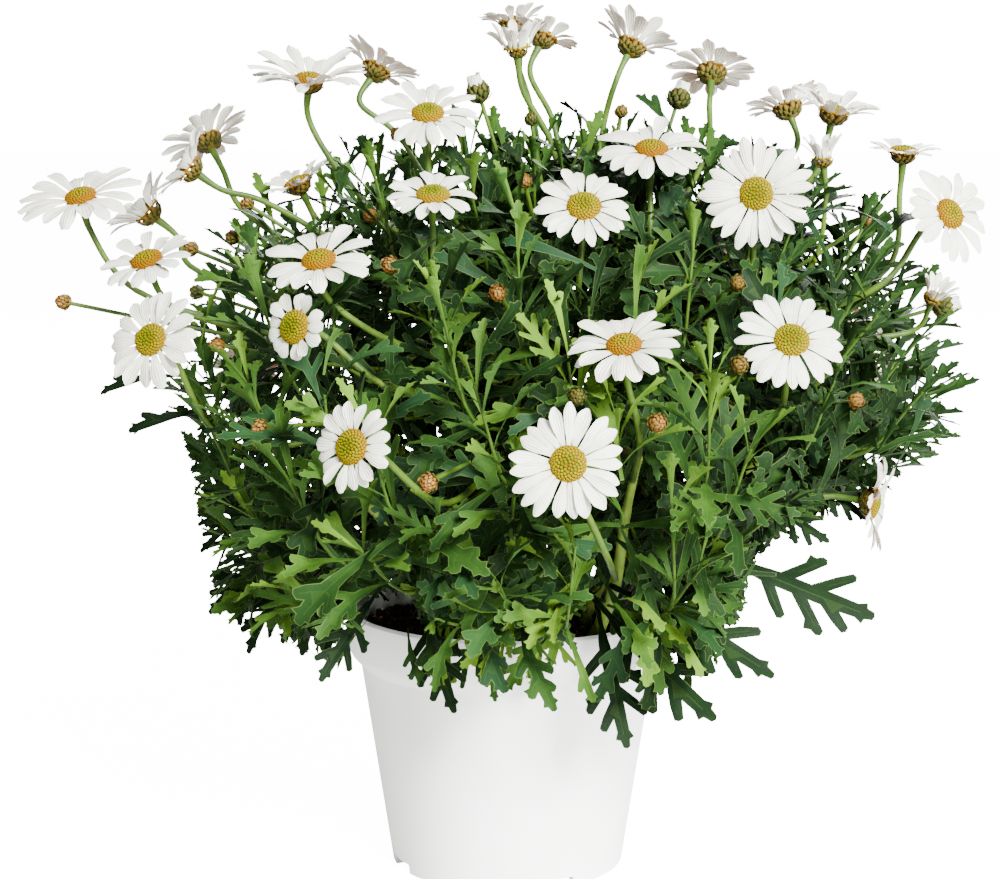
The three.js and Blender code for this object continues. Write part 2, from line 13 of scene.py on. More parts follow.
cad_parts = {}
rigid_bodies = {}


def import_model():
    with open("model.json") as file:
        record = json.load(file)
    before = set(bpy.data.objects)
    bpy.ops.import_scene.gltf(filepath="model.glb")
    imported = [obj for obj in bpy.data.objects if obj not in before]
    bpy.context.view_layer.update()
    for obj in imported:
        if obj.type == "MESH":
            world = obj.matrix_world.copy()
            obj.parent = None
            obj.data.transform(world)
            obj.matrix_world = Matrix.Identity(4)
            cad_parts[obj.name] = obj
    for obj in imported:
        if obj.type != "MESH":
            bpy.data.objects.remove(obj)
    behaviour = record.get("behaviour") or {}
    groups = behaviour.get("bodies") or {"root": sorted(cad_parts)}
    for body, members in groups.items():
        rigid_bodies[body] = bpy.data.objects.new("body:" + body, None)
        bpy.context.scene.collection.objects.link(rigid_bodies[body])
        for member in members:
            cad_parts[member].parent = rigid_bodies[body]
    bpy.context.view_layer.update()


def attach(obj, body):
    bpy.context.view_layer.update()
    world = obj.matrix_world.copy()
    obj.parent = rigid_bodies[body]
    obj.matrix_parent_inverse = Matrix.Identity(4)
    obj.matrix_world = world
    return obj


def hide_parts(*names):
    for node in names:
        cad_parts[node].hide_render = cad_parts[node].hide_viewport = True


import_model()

MM = 0.001
UP = Vector((0, 0, 1))
GOLDEN_ANGLE = math.pi * (3 - math.sqrt(5))

# Seeds of the random draws
SHOOT_SEED = 4251
HEART_SEED = 77
BUD_SEED = 500
SOIL_SEED = 90

# The pot and its soil
POT_HEIGHT = 139
RIM_RADIUS = 85
FOOT_RADIUS = 62
WALL = 1.8
RIM_BAND_HEIGHT = 21
RIM_STEP = 6.5
FLOOR_LIFT = 5
CHAMFER_HEIGHT = 9
RIM_ROUNDING = 1.5
RIM_CHAMFER = 1
BAND_LIP = 3.5
BAND_DRAFT = 0.2
BAND_FOOT = POT_HEIGHT - RIM_BAND_HEIGHT
CHAMFER_FOOT = BAND_FOOT - CHAMFER_HEIGHT
SHOULDER = RIM_RADIUS - RIM_STEP
FOOT_RING = FOOT_RADIUS - 2.5 * WALL
INNER_FOOT = FOOT_RADIUS + 0.5 - WALL
MOULDED_EDGE = 0.5
POT_SIDES = 128
NOTCH_WIDTH = 18
NOTCH_HEIGHT = 5
NOTCH_REACH = 24
NOTCH_ANGLES = (-65, -155, -245, -335)
DRAIN_RADIUS = 5
DRAIN_REACH = 30
DRAIN_CIRCLE = 34
DRAIN_ANGLES = (20, 110, 200, 290)
SOIL_LEVEL = POT_HEIGHT - 13
SOIL_GAP = 0.9
SOIL_RADIUS = RIM_RADIUS - WALL - SOIL_GAP
SOIL_EDGE = 3
SOIL_HEAP = 3
SOIL_SINK = 1.5
SOIL_FLOOR_GAP = 0.35
SHOULDER_GAP = 0.8
CALM_EDGE = 8
SOIL_RINGS = 44
SOIL_SIDES = 96

# Bits in the soil, peat, bark and white grains: paleness, flatness and size
SOIL_BITS = ((0.05, 0.7, 1.5), (0.3, 0.35, 2.4), (0.5, 0.3, 1.9), (0.95, 0.85, 1.2), (0.0, 0.8, 1.2))

# The bush: a rounded box in which the shoots end
BUSH_MIDDLE = Vector((37, 2, 252))
BUSH_REACH = Vector((203, 205, 150))
BUSH_POWER = 2.6
SKIRT = -0.8
SHOOTS = 200
SHOOT_LEAVES = 14
FEWEST_LEAVES = 4
LEAFY_LENGTH = 86
TIP_LEAF = 26
LOW_LEAF = 60
CROWN_LEAF = 46
HEART_LEAVES = 1250
HEART_BOTTOM = -0.86
HEART_LEAF_LENGTHS = (40, 56)
HEAD_ROOM = 3
STALK_ROOM = 5
POT_ROOM = 3
HEADS_AT_THE_BACK = 90
SEEN_PART = 0.94
OPEN_VIEW = 30
UNDERSIDE = ((-172, 232), (-158, 128), (-95, 104), (-30, 86), (70, 74), (116, 104), (138, 174),
             (200, 196), (252, 238))
FRONT_STEM = ((46, -58, 138), (54, -82, 170), (57, -98, 202), (60, -116, 226))
FRONT_BRANCHES = {"30": FRONT_STEM[3], "32": FRONT_STEM[1]}
OPEN_VIEWS = [(Vector(place), 11) for place in FRONT_STEM] + [(Vector((-62, -50, 141)), 15)]

# Camera, solved from the photograph
CAMERA_PLACE = Vector((-4, -1267, 434))
CAMERA_PITCH = 9.24
CAMERA_LENS = 87.3
SENSOR_WIDTH = 36
CAMERA_CLIP = (0.05, 40)

TOWARDS_VIEWER = Vector((-0.35, -0.8, 0.45))

# The studio: how bright its white shows, and how bright it lights
WHITE_SEEN = 16.0
SKY_LIGHT = 0.7
FLOOR_REACH = 9000

# Lamps: name, where each stands and what it shines at in metres, width and power
LAMPS = (
    ("key", (1.0, -2.1, 1.7), (0.02, 0, 0.25), 0.9, 540),
    ("fill", (-2.0, -1.2, 1.2), (0.02, 0, 0.25), 1.6, 3),
    ("low", (1.7, -1.5, 0.25), (0.02, 0, 0.12), 0.8, 130),
    ("back", (0.5, 2.2, 1.4), (0.02, 0, 0.25), 1.4, 160),
)

# Main stems: foot in the soil, top of the fork that each one reaches, radius
MAIN_STEMS = (
    ((30, -34, 96), (62, -130, 240), 4.0),
    ((-30, -26, 96), (-96, -88, 236), 3.6),
    ((-28, 32, 96), (-78, 104, 240), 3.6),
    ((34, 32, 96), (112, 108, 238), 4.0),
    ((44, -4, 96), (142, -56, 236), 4.0),
    ((2, 4, 96), (14, 6, 300), 4.4),
)

# Heads: name, middle of the ring, the way it faces, radius, rise of the rays in degrees, the bend of
# its stalk, whether the frame has its disc as a node, number of rays, and age from 0 (green heart) to 1
HEADS = (
    ("01", (-219, -20, 357), (-0.15, -0.45, 0.88), 32, 4, (-193, -10, 308), True, 16, 0.9),
    ("02", (-192, 30, 346), (-0.75, -0.1, 0.65), 22, 38, (-169, 22, 318), False, 15, 0.7),
    ("03", (-180, -60, 328), (-0.25, -0.45, 0.86), 24, 6, (-166, -50, 302), True, 17, 0.9),
    ("04", (-173, -100, 293), (-0.35, -0.85, 0.4), 26, 2, (-140, -72, 238), True, 18, 0.3),
    ("05", (-163, 60, 383), (-0.45, 0.45, 0.77), 26, 12, (-142, 40, 346), False, 19, 0.6),
    ("06", (-165, -4, 371), (-0.82, -0.1, 0.56), 21, 32, (-128, 0, 354), False, 16, 0.7),
    ("07", (-102, -10, 416), (0.05, -0.32, 0.95), 31, 20, (-80, -10, 361), True, 21, 1.0),
    ("08", (-70, 45, 421), (0.45, 0.35, 0.82), 22, 26, (-60, 38, 388), False, 17, 0.6),
    ("09", (-40, -45, 400), (0, -0.55, 0.83), 27, 4, (-39, -40, 368), True, 20, 0.55),
    ("11", (-110, 12, 362), (-0.4, -0.15, 0.9), 19, 24, (-100, 4, 339), False, 16, 0.8),
    ("12", (-89, -130, 334), (-0.1, -0.52, 0.85), 27, 5, (-62, -108, 296), True, 13, 0.85),
    ("13", (-99, -150, 305), (-0.53, -0.8, 0.25), 17, 6, (-60, -132, 276), True, 13, 0.3),
    ("14", (-36, -105, 363), (0.02, -0.43, 0.9), 22, 4, (-33, -100, 310), True, 17, 0.4),
    ("15", (5, 6, 432), (-0.12, -0.08, 1), 15, 58, (24, 10, 380), False, 15, 0.1),
    ("16", (3, 92, 446), (-0.1, 0.15, 0.98), 19, 30, (13, 72, 400), False, 16, 0.6),
    ("17", (19, 52, 438), (0.35, 0.3, 0.88), 20, 24, (25, 46, 392), False, 16, 0.6),
    ("18", (66, 35, 434), (0.4, 0.35, 0.84), 23, 36, (51, 30, 392), False, 17, 0.6),
    ("19", (71, -60, 383), (0, -0.43, 0.9), 29, 5, (70, -58, 334), True, 17, 0.9),
    ("20", (108, 30, 420), (0.1, 0.6, 0.79), 24, 10, (105, 18, 380), False, 17, 0.5),
    ("22", (150, 44, 401), (-0.25, 0.35, 0.9), 22, 24, (148, 30, 372), False, 17, 0.5),
    ("23", (167, -14, 400), (0.2, -0.15, 0.96), 23, 32, (158, -12, 368), False, 18, 0.5),
    ("24", (120, -90, 363), (-0.05, -0.97, 0.2), 28, 3, (118, -62, 308), True, 22, 0.25),
    ("25", (157, -52, 378), (-0.1, -0.1, 1), 9, 66, (152, -44, 322), False, 13, 0.1),
    ("26", (208, 15, 378), (0.05, -0.1, 0.99), 19, 20, (200, 8, 318), False, 16, 0.6),
    ("27", (222, -45, 350), (0.5, -0.75, 0.42), 26, 4, (191, -34, 314), True, 18, 0.7),
    ("28", (214, -52, 309), (0.3, -0.45, 0.84), 9, 62, (176, -44, 286), False, 13, 0.1),
    ("29", (36, -110, 358), (0, -0.76, 0.65), 24, 3, (34, -96, 318), True, 20, 0.4),
    ("30", (52, -180, 300), (-0.1, -0.49, 0.87), 27, 4, (60, -166, 258), True, 18, 0.9),
    ("31", (130, -160, 300), (0, -0.84, 0.54), 26, 3, (128, -130, 262), True, 21, 0.2),
    ("32", (26, -215, 252), (0, -0.96, 0.28), 27, 2, (44, -172, 204), True, 21, 0.3),
    ("33", (183, -70, 207), (0.9, -0.32, -0.1), 25, 18, (112, -72, 208), False, 17, 0.6),
    ("34", (-70, -200, 257), (-0.5, -0.82, 0.27), 21, 4, (-32, -160, 224), True, 18, 0.35),
    ("35", (-120, 160, 312), (-0.35, 0.6, 0.72), 27, 5, (-100, 134, 280), False, 18, 0.8),
    ("36", (-40, 205, 290), (-0.1, 0.8, 0.6), 28, 4, (-30, 164, 254), False, 20, 0.3),
    ("37", (62, 212, 262), (0.1, 0.92, 0.36), 27, 5, (54, 166, 232), False, 19, 0.5),
    ("38", (140, 160, 318), (0.35, 0.6, 0.72), 28, 4, (122, 134, 284), False, 21, 0.2),
    ("39", (26, 138, 352), (0, 0.5, 0.86), 28, 5, (24, 116, 318), False, 18, 0.9),
    ("40", (-148, 122, 252), (-0.6, 0.75, 0.25), 25, 3, (-116, 96, 236), False, 17, 0.4),
    ("41", (204, 120, 262), (0.6, 0.72, 0.34), 27, 4, (172, 96, 240), False, 19, 0.7),
    ("42", (128, 206, 204), (0.25, 0.95, 0.15), 24, 3, (106, 158, 196), False, 18, 0.3),
    ("43", (-80, 208, 214), (-0.3, 0.94, 0.15), 25, 4, (-62, 162, 208), False, 20, 0.6),
)
HEAD_FIELDS = ("id", "at", "face", "radius", "rise", "bend", "own_disc", "rays", "age")
SMALL_HEAD = 12

# Closed buds on their stalks, and the three that have begun to open
BUDS = (
    (-227, -30, 304), (-163, -16, 330), (-140, -30, 337), (-135, -4, 352), (-57, 0, 388),
    (-68, -60, 350), (-56, -120, 331), (-141, -96, 290), (-5, -160, 322), (-116, -150, 258),
    (-36, -200, 241), (12, -14, 396), (8, -78, 368), (58, -14, 400), (107, -136, 324),
    (182, -34, 345), (105, -170, 290), (165, -124, 267), (66, -200, 268),
    (30, -200, 280), (-15, -20, 410), (90, 22, 406), (226, -12, 300), (-60, 120, 348),
    (90, 130, 350), (-170, 60, 300), (0, 222, 232), (176, 150, 290),
)
OPENING_BUDS = ((-15, -20, 410), (90, 22, 406), (226, -12, 300))
BUD_RADIUS = 4.8
OPENING_RADIUS = 6.8
OPENING_TIPS = 22
BUD_BRACTS = 38
BUD_STALK_RADIUS = 1.1
STALK_RADIUS = 1.6
STALK_NECK = 14
STEM_KNOTS = 8

# Where stems leave the middle of the bush, as a share of the way to its surface
SHOOT_ROOT = 0.3
STALK_ROOT = 0.41
BUD_ROOT = 0.43

# The parts of a head
CUP_RADIUS = 7.8
CUP_HEIGHT = 6
CUP_TOP = -1.15
CUP_BRACTS = 34
SMALLEST_CUP = 0.62
FULL_CUP_HEAD = 22
DISC_RADIUS = 8.6
DISC_HEIGHT = 4.4
SEAT_RINGS = 8
SEAT_SIDES = 20
FLORET_SIDES = 5
RAY_FOOT = 0.86
WIDEST_RAY = 4.2
RAY_GROOVE = 0.48
RAY_THICKNESS = 0.018

# Ways in which a ray is shaped: its curl, its hollow, and the notch in its tip
RAY_WAYS = ((0.05, -0.02, 0.02), (0.12, 0.03, 0.03), (-0.02, 0.05, 0.015), (0.2, -0.04, 0.025))

# Large single leaves low on the plant: where each grows from, its tip, its roll, and whether it is lobed
SINGLE_LEAVES = (
    ((98, -66, 184), (184, -76, 150), 0.3, True),
    ((50, -84, 168), (128, -126, 132), -0.3, True),
    ((40, -80, 164), (100, -130, 112), 0.2, True),
    ((44, -82, 160), (58, -124, 96), -0.2, True),
    ((-40, -84, 170), (-26, -118, 112), 0.2, True),
    ((-62, -78, 168), (-92, -112, 126), -0.3, True),
    ((-98, -44, 184), (-132, -64, 128), 0.3, True),
    ((-88, -52, 182), (-104, -76, 130), -0.2, True),
    ((-76, -62, 178), (-91, -86, 130), 0.1, True),
    ((-112, -34, 182), (-153, -52, 146), -0.3, True),
    ((-118, -26, 204), (-158, -42, 176), 0.3, True),
    ((-128, -18, 222), (-160, -34, 193), -0.1, True),
    ((122, -52, 212), (161, -74, 188), 0.2, True),
    ((140, -46, 224), (182, -64, 197), -0.2, True),
    ((-164, -10, 262), (-214, -16, 254), 0.2, False),
    ((-150, -24, 248), (-196, -40, 238), -0.2, False),
)


# Sums and paths


def mix(low, high, share):
    return low + (high - low) * share


def ease(low, high, value):
    """0 below low, 1 above high, and a smooth step between."""
    share = min(max((value - low) / (high - low), 0), 1)
    return share * share * (3 - 2 * share)


def bush_point(direction, share):
    """The point of the bush in a direction, at a share of the way to its surface."""
    spread = sum(abs(d / reach) ** BUSH_POWER for d, reach in zip(direction, BUSH_REACH))
    return BUSH_MIDDLE + direction * (share * spread ** (-1 / BUSH_POWER))


def spiral_direction(i, count, lowest):
    """Even directions along a spiral from straight up down to the lowest height."""
    height = 1 - (i + 0.5) / count * (1 - lowest)
    across = math.sqrt(1 - height * height)
    return Vector((across * math.cos(i * GOLDEN_ANGLE), across * math.sin(i * GOLDEN_ANGLE), height))


def curve_between(before, start, end, after, share):
    """A point of the centripetal curve between start and end."""
    gaps = [max((b - a).length ** 0.5, 1e-4) for a, b in ((before, start), (start, end), (end, after))]
    leave = (start - before) / gaps[0] - (end - before) / (gaps[0] + gaps[1]) + (end - start) / gaps[1]
    arrive = (end - start) / gaps[1] - (after - start) / (gaps[1] + gaps[2]) + (after - end) / gaps[2]
    leave *= gaps[1]
    arrive *= gaps[1]
    square = share * share
    cube = square * share
    return (start * (2 * cube - 3 * square + 1) + leave * (cube - 2 * square + share)
            + end * (3 * square - 2 * cube) + arrive * (cube - square))


def smooth_path(points, steps):
    """A smooth path through the points, with some steps between each two of them."""
    points = [Vector(p) for p in points]
    ends = [2 * points[0] - points[1], *points, 2 * points[-1] - points[-2]]
    path = []
    for i in range(1, len(points)):
        for step in range(steps):
            path.append(curve_between(*ends[i - 1:i + 3], step / steps))
    return [*path, points[-1]]


def path_shares(path):
    """How far along the path each of its points is, from 0 to 1."""
    lengths = [0.0]
    for a, b in zip(path, path[1:]):
        lengths.append(lengths[-1] + (b - a).length)
    return [length / lengths[-1] for length in lengths]


def point_along(path, share):
    """The point at a share of the path's length, and the path's direction there."""
    shares = path_shares(path)
    k = next((i for i in range(1, len(path)) if shares[i] >= share), len(path) - 1)
    part = (share - shares[k - 1]) / max(shares[k] - shares[k - 1], 1e-9)
    return path[k - 1].lerp(path[k], part), (path[k] - path[k - 1]).normalized()


def leaf_turn(direction, sky, roll):
    """The turn that lays a leaf along a direction, with its face to the sky and then rolled."""
    along = direction.normalized()
    side = along.cross(sky).normalized()
    face = side.cross(along)
    turn = Matrix((side, along, face)).transposed()
    return turn @ Matrix.Rotation(roll, 3, "Y")


def stand_on(place, direction, spin=0.0):
    """Where a thing with its top up goes: on its place, turned to where it looks, with a spin of its own."""
    turn = UP.rotation_difference(Vector(direction).normalized()) @ Quaternion(UP, spin)
    return Matrix.Translation(Vector(place) * MM) @ turn.to_matrix().to_4x4()


def head_frame(head):
    return stand_on(head["at"], head["face"], float(head["id"]))


def bud_frame(place):
    return stand_on(place, Vector(place) - BUSH_MIDDLE)


# Meshes and pieces


def add_object(name, data):
    thing = bpy.data.objects.new(name, data)
    bpy.context.scene.collection.objects.link(thing)
    return thing


def set_attribute(mesh, title, values):
    """Gives each point of a mesh its value or its vector."""
    is_vector = hasattr(values[0], "__len__")
    kind = "FLOAT_VECTOR" if is_vector else "INT" if title == "pick" else "FLOAT"
    layer = mesh.attributes.new(title, kind, "POINT")
    flat = [part for value in values for part in value] if is_vector else values
    layer.data.foreach_set("vector" if is_vector else "value", flat)


def mesh_object(name, points, faces=(), edges=(), attributes=None, unit=MM):
    """A mesh object, with a value or a vector of each attribute for each point."""
    mesh = bpy.data.meshes.new(name)
    mesh.from_pydata([Vector(p) * unit for p in points], edges, faces)
    for title, values in (attributes or {}).items():
        set_attribute(mesh, title, values)
    return add_object(name, mesh)


def body_object(name, body, unit=MM):
    """The object of a body that was put together from solids or from other pieces."""
    bmesh.ops.scale(body, vec=(unit,) * 3, verts=body.verts)
    mesh = bpy.data.meshes.new(name)
    body.to_mesh(mesh)
    body.free()
    return add_object(name, mesh)


def turned(outline, sides):
    """Points and faces of a closed turned body. The outline starts and ends on the axis."""
    rings = outline[1:-1]
    points = [(0, 0, outline[0][1])]
    for r, z in rings:
        for k in range(sides):
            angle = math.tau * k / sides
            points.append((r * math.cos(angle), r * math.sin(angle), z))
    points.append((0, 0, outline[-1][1]))
    last = len(points) - 1
    faces = []
    for k in range(sides):
        after = (k + 1) % sides
        faces.append((0, 1 + after, 1 + k))
        for ring in range(len(rings) - 1):
            low = 1 + ring * sides
            faces.append((low + k, low + after, low + sides + after, low + sides + k))
        top = 1 + (len(rings) - 1) * sides
        faces.append((top + k, top + after, last))
    return points, faces


def face_outwards(thing):
    """Merges doubles and turns every face of closed shells outwards."""
    shell = bmesh.new()
    shell.from_mesh(thing.data)
    bmesh.ops.remove_doubles(shell, verts=shell.verts, dist=1e-7)
    bmesh.ops.recalc_face_normals(shell, faces=shell.faces)
    shell.to_mesh(thing.data)
    shell.free()


def smooth(thing):
    thing.data.polygons.foreach_set("use_smooth", [True] * len(thing.data.polygons))


def smooth_shell(thing):
    """Turns a closed shell's faces outwards and smooths them."""
    face_outwards(thing)
    smooth(thing)
    return thing


def crisp_blade(blade):
    """Smooths a thin blade, but keeps its two skins apart where they meet at its edge."""
    smooth(blade)
    blade.data.set_sharp_from_angle(angle=math.radians(100))
    return blade


def bake(piece, spent=()):
    """Turns a piece with its modifiers into a plain mesh and drops the attributes that only placed it."""
    bpy.context.view_layer.update()
    finished = piece.evaluated_get(bpy.context.evaluated_depsgraph_get())
    mesh = bpy.data.meshes.new_from_object(finished)
    piece.modifiers.clear()
    draft = piece.data
    piece.data = mesh
    bpy.data.meshes.remove(draft)
    mesh.name = piece.name
    finish = next((material for material in mesh.materials if material), None)
    mesh.materials.clear()
    if finish:
        mesh.materials.append(finish)
    mesh.polygons.foreach_set("material_index", [0] * len(mesh.polygons))
    for title in spent:
        if title in mesh.attributes:
            mesh.attributes.remove(mesh.attributes[title])
    return piece


def settle(piece, nodes=()):
    """Rides a finished piece on the pot and hides the frame's nodes that it stands for."""
    if nodes:
        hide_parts(*nodes)
    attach(piece, "root")


def shape_box(title, shapes):
    """A collection of small shapes for a tree to pick from, out of the scene."""
    box = bpy.data.collections.new(title)
    for shape in shapes:
        bpy.context.scene.collection.objects.unlink(shape)
        box.objects.link(shape)
    return box


def drop_shapes(*shapes):
    for shape in shapes:
        bpy.data.objects.remove(shape)


# Node trees


def usable(sockets, key):
    """A socket by its number, or the usable one of that name."""
    if isinstance(key, int):
        return sockets[key]
    return next(s for s in sockets if s.name == key and s.enabled)


class Nodes:
    """Adds nodes to one tree and links them to each other."""

    def __init__(self, tree):
        self.tree = tree

    def add(self, kind, inputs=None, **settings):
        node = self.tree.nodes.new(kind)
        for setting, value in settings.items():
            setattr(node, setting, value)
        for key, value in (inputs or {}).items():
            self.feed(usable(node.inputs, key), value)
        return node

    def feed(self, socket, value):
        if isinstance(value, bpy.types.NodeSocket):
            self.tree.links.new(value, socket)
        else:
            socket.default_value = value

    def out(self, kind, inputs=None, **settings):
        """The first usable output of a new node."""
        node = self.add(kind, inputs, **settings)
        return next(s for s in node.outputs if s.enabled)

    def math(self, operation, *values):
        return self.out("ShaderNodeMath", dict(enumerate(values)), operation=operation)

    def times(self, value, factor):
        return self.math("MULTIPLY", value, factor)

    def scaled(self, value, factor, start):
        """The value times a factor, counted from a start."""
        return self.math("MULTIPLY_ADD", value, factor, start)

    def less(self, value, taken):
        return self.math("SUBTRACT", value, taken)

    def between(self, share, low, high):
        return self.out("ShaderNodeMix", {"Factor": share, "A": low, "B": high})

    def step(self, value, low, high):
        """0 below low, 1 above high, and a smooth step between."""
        inputs = {"Value": value, "From Min": low, "From Max": high}
        return self.out("ShaderNodeMapRange", inputs, interpolation_type="SMOOTHSTEP")

    def vector(self, *parts):
        return self.out("ShaderNodeCombineXYZ", dict(enumerate(parts)))

    def on_ring(self, radius, angle, height):
        """The point at an angle of a level ring."""
        x = self.times(radius, self.math("COSINE", angle))
        y = self.times(radius, self.math("SINE", angle))
        return self.vector(x, y, height)

    def random(self, low, high, seed, kind="FLOAT"):
        return self.out("FunctionNodeRandomValue", {"Min": low, "Max": high, "Seed": seed}, data_type=kind)

    def stored(self, title, kind="FLOAT"):
        """What each point has stored under a name."""
        return self.out("GeometryNodeInputNamedAttribute", {"Name": title}, data_type=kind)

    def object_shape(self, thing):
        """The geometry of an object."""
        return usable(self.add("GeometryNodeObjectInfo", {"Object": thing}).outputs, "Geometry")

    def set_shapes(self, points, shapes, pick, turn, size):
        """Sets shapes from a collection on points, each with its choice, turn and size."""
        box = self.out("GeometryNodeCollectionInfo", {
            "Collection": shapes, "Separate Children": True, "Reset Children": True})
        return self.out("GeometryNodeInstanceOnPoints", {
            "Points": points, "Instance": box, "Pick Instance": True, "Instance Index": pick,
            "Rotation": self.out("FunctionNodeEulerToRotation", {0: turn}), "Scale": size})

    def own(self, title):
        """What each point of a surface has stored under a name, for its material."""
        node = self.add("ShaderNodeAttribute", attribute_name=title, attribute_type="GEOMETRY")
        return node.outputs["Fac"]

    def clouds(self, where, scale, detail):
        return self.out("ShaderNodeTexNoise", {"Vector": where, "Scale": scale, "Detail": detail})


def paint(code):
    """A colour from its six-figure code, as linear light."""
    parts = [int(code[i:i + 2], 16) / 255 for i in (1, 3, 5)]
    linear = [p / 12.92 if p <= 0.04045 else ((p + 0.055) / 1.055) ** 2.4 for p in parts]
    return (*linear, 1.0)


def new_tree(title, **names):
    """A geometry tree with its inputs, named for each kind of socket, and a Finish."""
    tree = bpy.data.node_groups.new(title, "GeometryNodeTree")
    tree.interface.new_socket("Geometry", in_out="OUTPUT", socket_type="NodeSocketGeometry")
    for kind, listed in {"Geometry": ["Geometry"], **names, "Material": ["Finish"]}.items():
        for name in listed:
            tree.interface.new_socket(name, in_out="INPUT", socket_type=f"NodeSocket{kind}")
    nodes = Nodes(tree)
    return nodes, {s.name: s for s in nodes.add("NodeGroupInput").outputs}


def close_tree(nodes, given, shapes):
    """Ends a tree: real geometry, smooth faces, and the material."""
    real = nodes.out("GeometryNodeRealizeInstances", {0: shapes})
    soft = nodes.out("GeometryNodeSetShadeSmooth", {0: real})
    done = nodes.out("GeometryNodeSetMaterial", {"Geometry": soft, "Material": given["Finish"]})
    nodes.add("NodeGroupOutput", {0: done})
    return nodes.tree


def use_tree(piece, tree, **values):
    """Puts a tree on a piece. The values are named as the tree's inputs, with _ for a space."""
    grown = piece.modifiers.new(tree.name, "NODES")
    grown.node_group = tree
    keys = {s.name: s.identifier for s in tree.interface.items_tree if s.in_out == "INPUT"}
    for name, value in values.items():
        grown[keys[name.replace("_", " ")]] = value
    return piece


def planting_tree():
    """Sets shapes from a box on points. Each point has its own turn, size and choice of shape."""
    nodes, given = new_tree("planting", Collection=["Shapes"])
    pick = nodes.stored("pick", "INT")
    turn = nodes.stored("turn", "FLOAT_VECTOR")
    shapes = nodes.set_shapes(given["Geometry"], given["Shapes"], pick, turn, nodes.stored("size"))
    return close_tree(nodes, given, shapes)


def stalk_tree():
    """Runs a ribbed round stalk along each path. The paths' points have their own radius."""
    nodes, given = new_tree("stalks", Int=["Sides"], Float=["Ribs", "Rib Depth"])
    path = nodes.out("GeometryNodeMeshToCurve", {0: given["Geometry"]})
    ring = nodes.out("GeometryNodeCurvePrimitiveCircle", {"Resolution": given["Sides"], "Radius": 1.0})
    turn = nodes.math("DIVIDE", nodes.out("GeometryNodeInputIndex"), given["Sides"])
    wave = nodes.math("SINE", nodes.times(nodes.times(turn, given["Ribs"]), math.tau))
    swell = nodes.scaled(wave, given["Rib Depth"], 1.0)
    place = nodes.out("ShaderNodeVectorMath", {
        0: nodes.out("GeometryNodeInputPosition"), "Scale": swell}, operation="SCALE")
    ring = nodes.out("GeometryNodeSetPosition", {"Geometry": ring, "Position": place})
    skin = nodes.out("GeometryNodeCurveToMesh", {
        "Curve": path, "Profile Curve": ring, "Scale": nodes.stored("girth"), "Fill Caps": True})
    return close_tree(nodes, given, skin)


def scales_tree():
    """Sets scales in a spiral over the rounded end of a seat, as florets on a disc or bracts on a cup."""
    nodes, given = new_tree(
        "scales", Object=["Seat", "Scale Shape"], Int=["Count", "Seed"],
        Float=["Radius", "Height", "Top", "Bottom", "Top Size", "Bottom Size", "Tilt", "Ripeness",
               "Ripening", "Foot Green"])
    seed = given["Seed"]
    index = nodes.out("GeometryNodeInputIndex")
    share = nodes.math("DIVIDE", nodes.math("ADD", index, 0.5), given["Count"])
    rise = nodes.between(share, given["Top"], given["Bottom"])
    across = nodes.math("SQRT", nodes.less(1.0, nodes.math("POWER", rise, 2.0)))
    radius = nodes.times(across, given["Radius"])
    place = nodes.on_ring(radius, nodes.times(index, GOLDEN_ANGLE), nodes.times(rise, given["Height"]))
    wide = nodes.math("POWER", given["Radius"], 2.0)
    squares = nodes.vector(wide, wide, nodes.math("POWER", given["Height"], 2.0))
    outward = nodes.out("ShaderNodeVectorMath", {0: place, 1: squares}, operation="DIVIDE")
    aim = nodes.out("FunctionNodeAxesToRotation", {"Primary Axis": outward, "Secondary Axis": UP},
                    primary_axis="Z", secondary_axis="Y")
    wobble = nodes.random(-0.12, 0.12, seed)
    lean = nodes.vector(nodes.math("ADD", given["Tilt"], wobble), 0.0, wobble)
    aim = nodes.out("FunctionNodeRotateRotation", {
        "Rotation": aim, "Rotate By": nodes.out("FunctionNodeEulerToRotation", {0: lean})},
        rotation_space="LOCAL")
    size = nodes.times(nodes.between(share, given["Top Size"], given["Bottom Size"]),
                       nodes.random(0.9, 1.1, seed))
    points = nodes.out("GeometryNodePoints", {"Count": given["Count"], "Position": place})
    scales = nodes.out("GeometryNodeInstanceOnPoints", {
        "Points": points, "Instance": nodes.object_shape(given["Scale Shape"]), "Rotation": aim,
        "Scale": size})
    ripe = nodes.scaled(nodes.less(across, 0.55), given["Ripening"], given["Ripeness"])
    ripe = nodes.less(ripe, nodes.times(nodes.times(share, share), given["Foot Green"]))
    ripe = nodes.math("ADD", ripe, nodes.random(-0.06, 0.06, seed))
    both = nodes.add("GeometryNodeJoinGeometry")
    for part, value, domain in ((scales, ripe, "INSTANCE"),
                                (nodes.object_shape(given["Seat"]), given["Ripeness"], "POINT")):
        part = nodes.out("GeometryNodeStoreNamedAttribute", {
            "Geometry": part, "Name": "ripe", "Value": value}, data_type="FLOAT", domain=domain)
        nodes.feed(both.inputs[0], part)
    return close_tree(nodes, given, both.outputs[0])


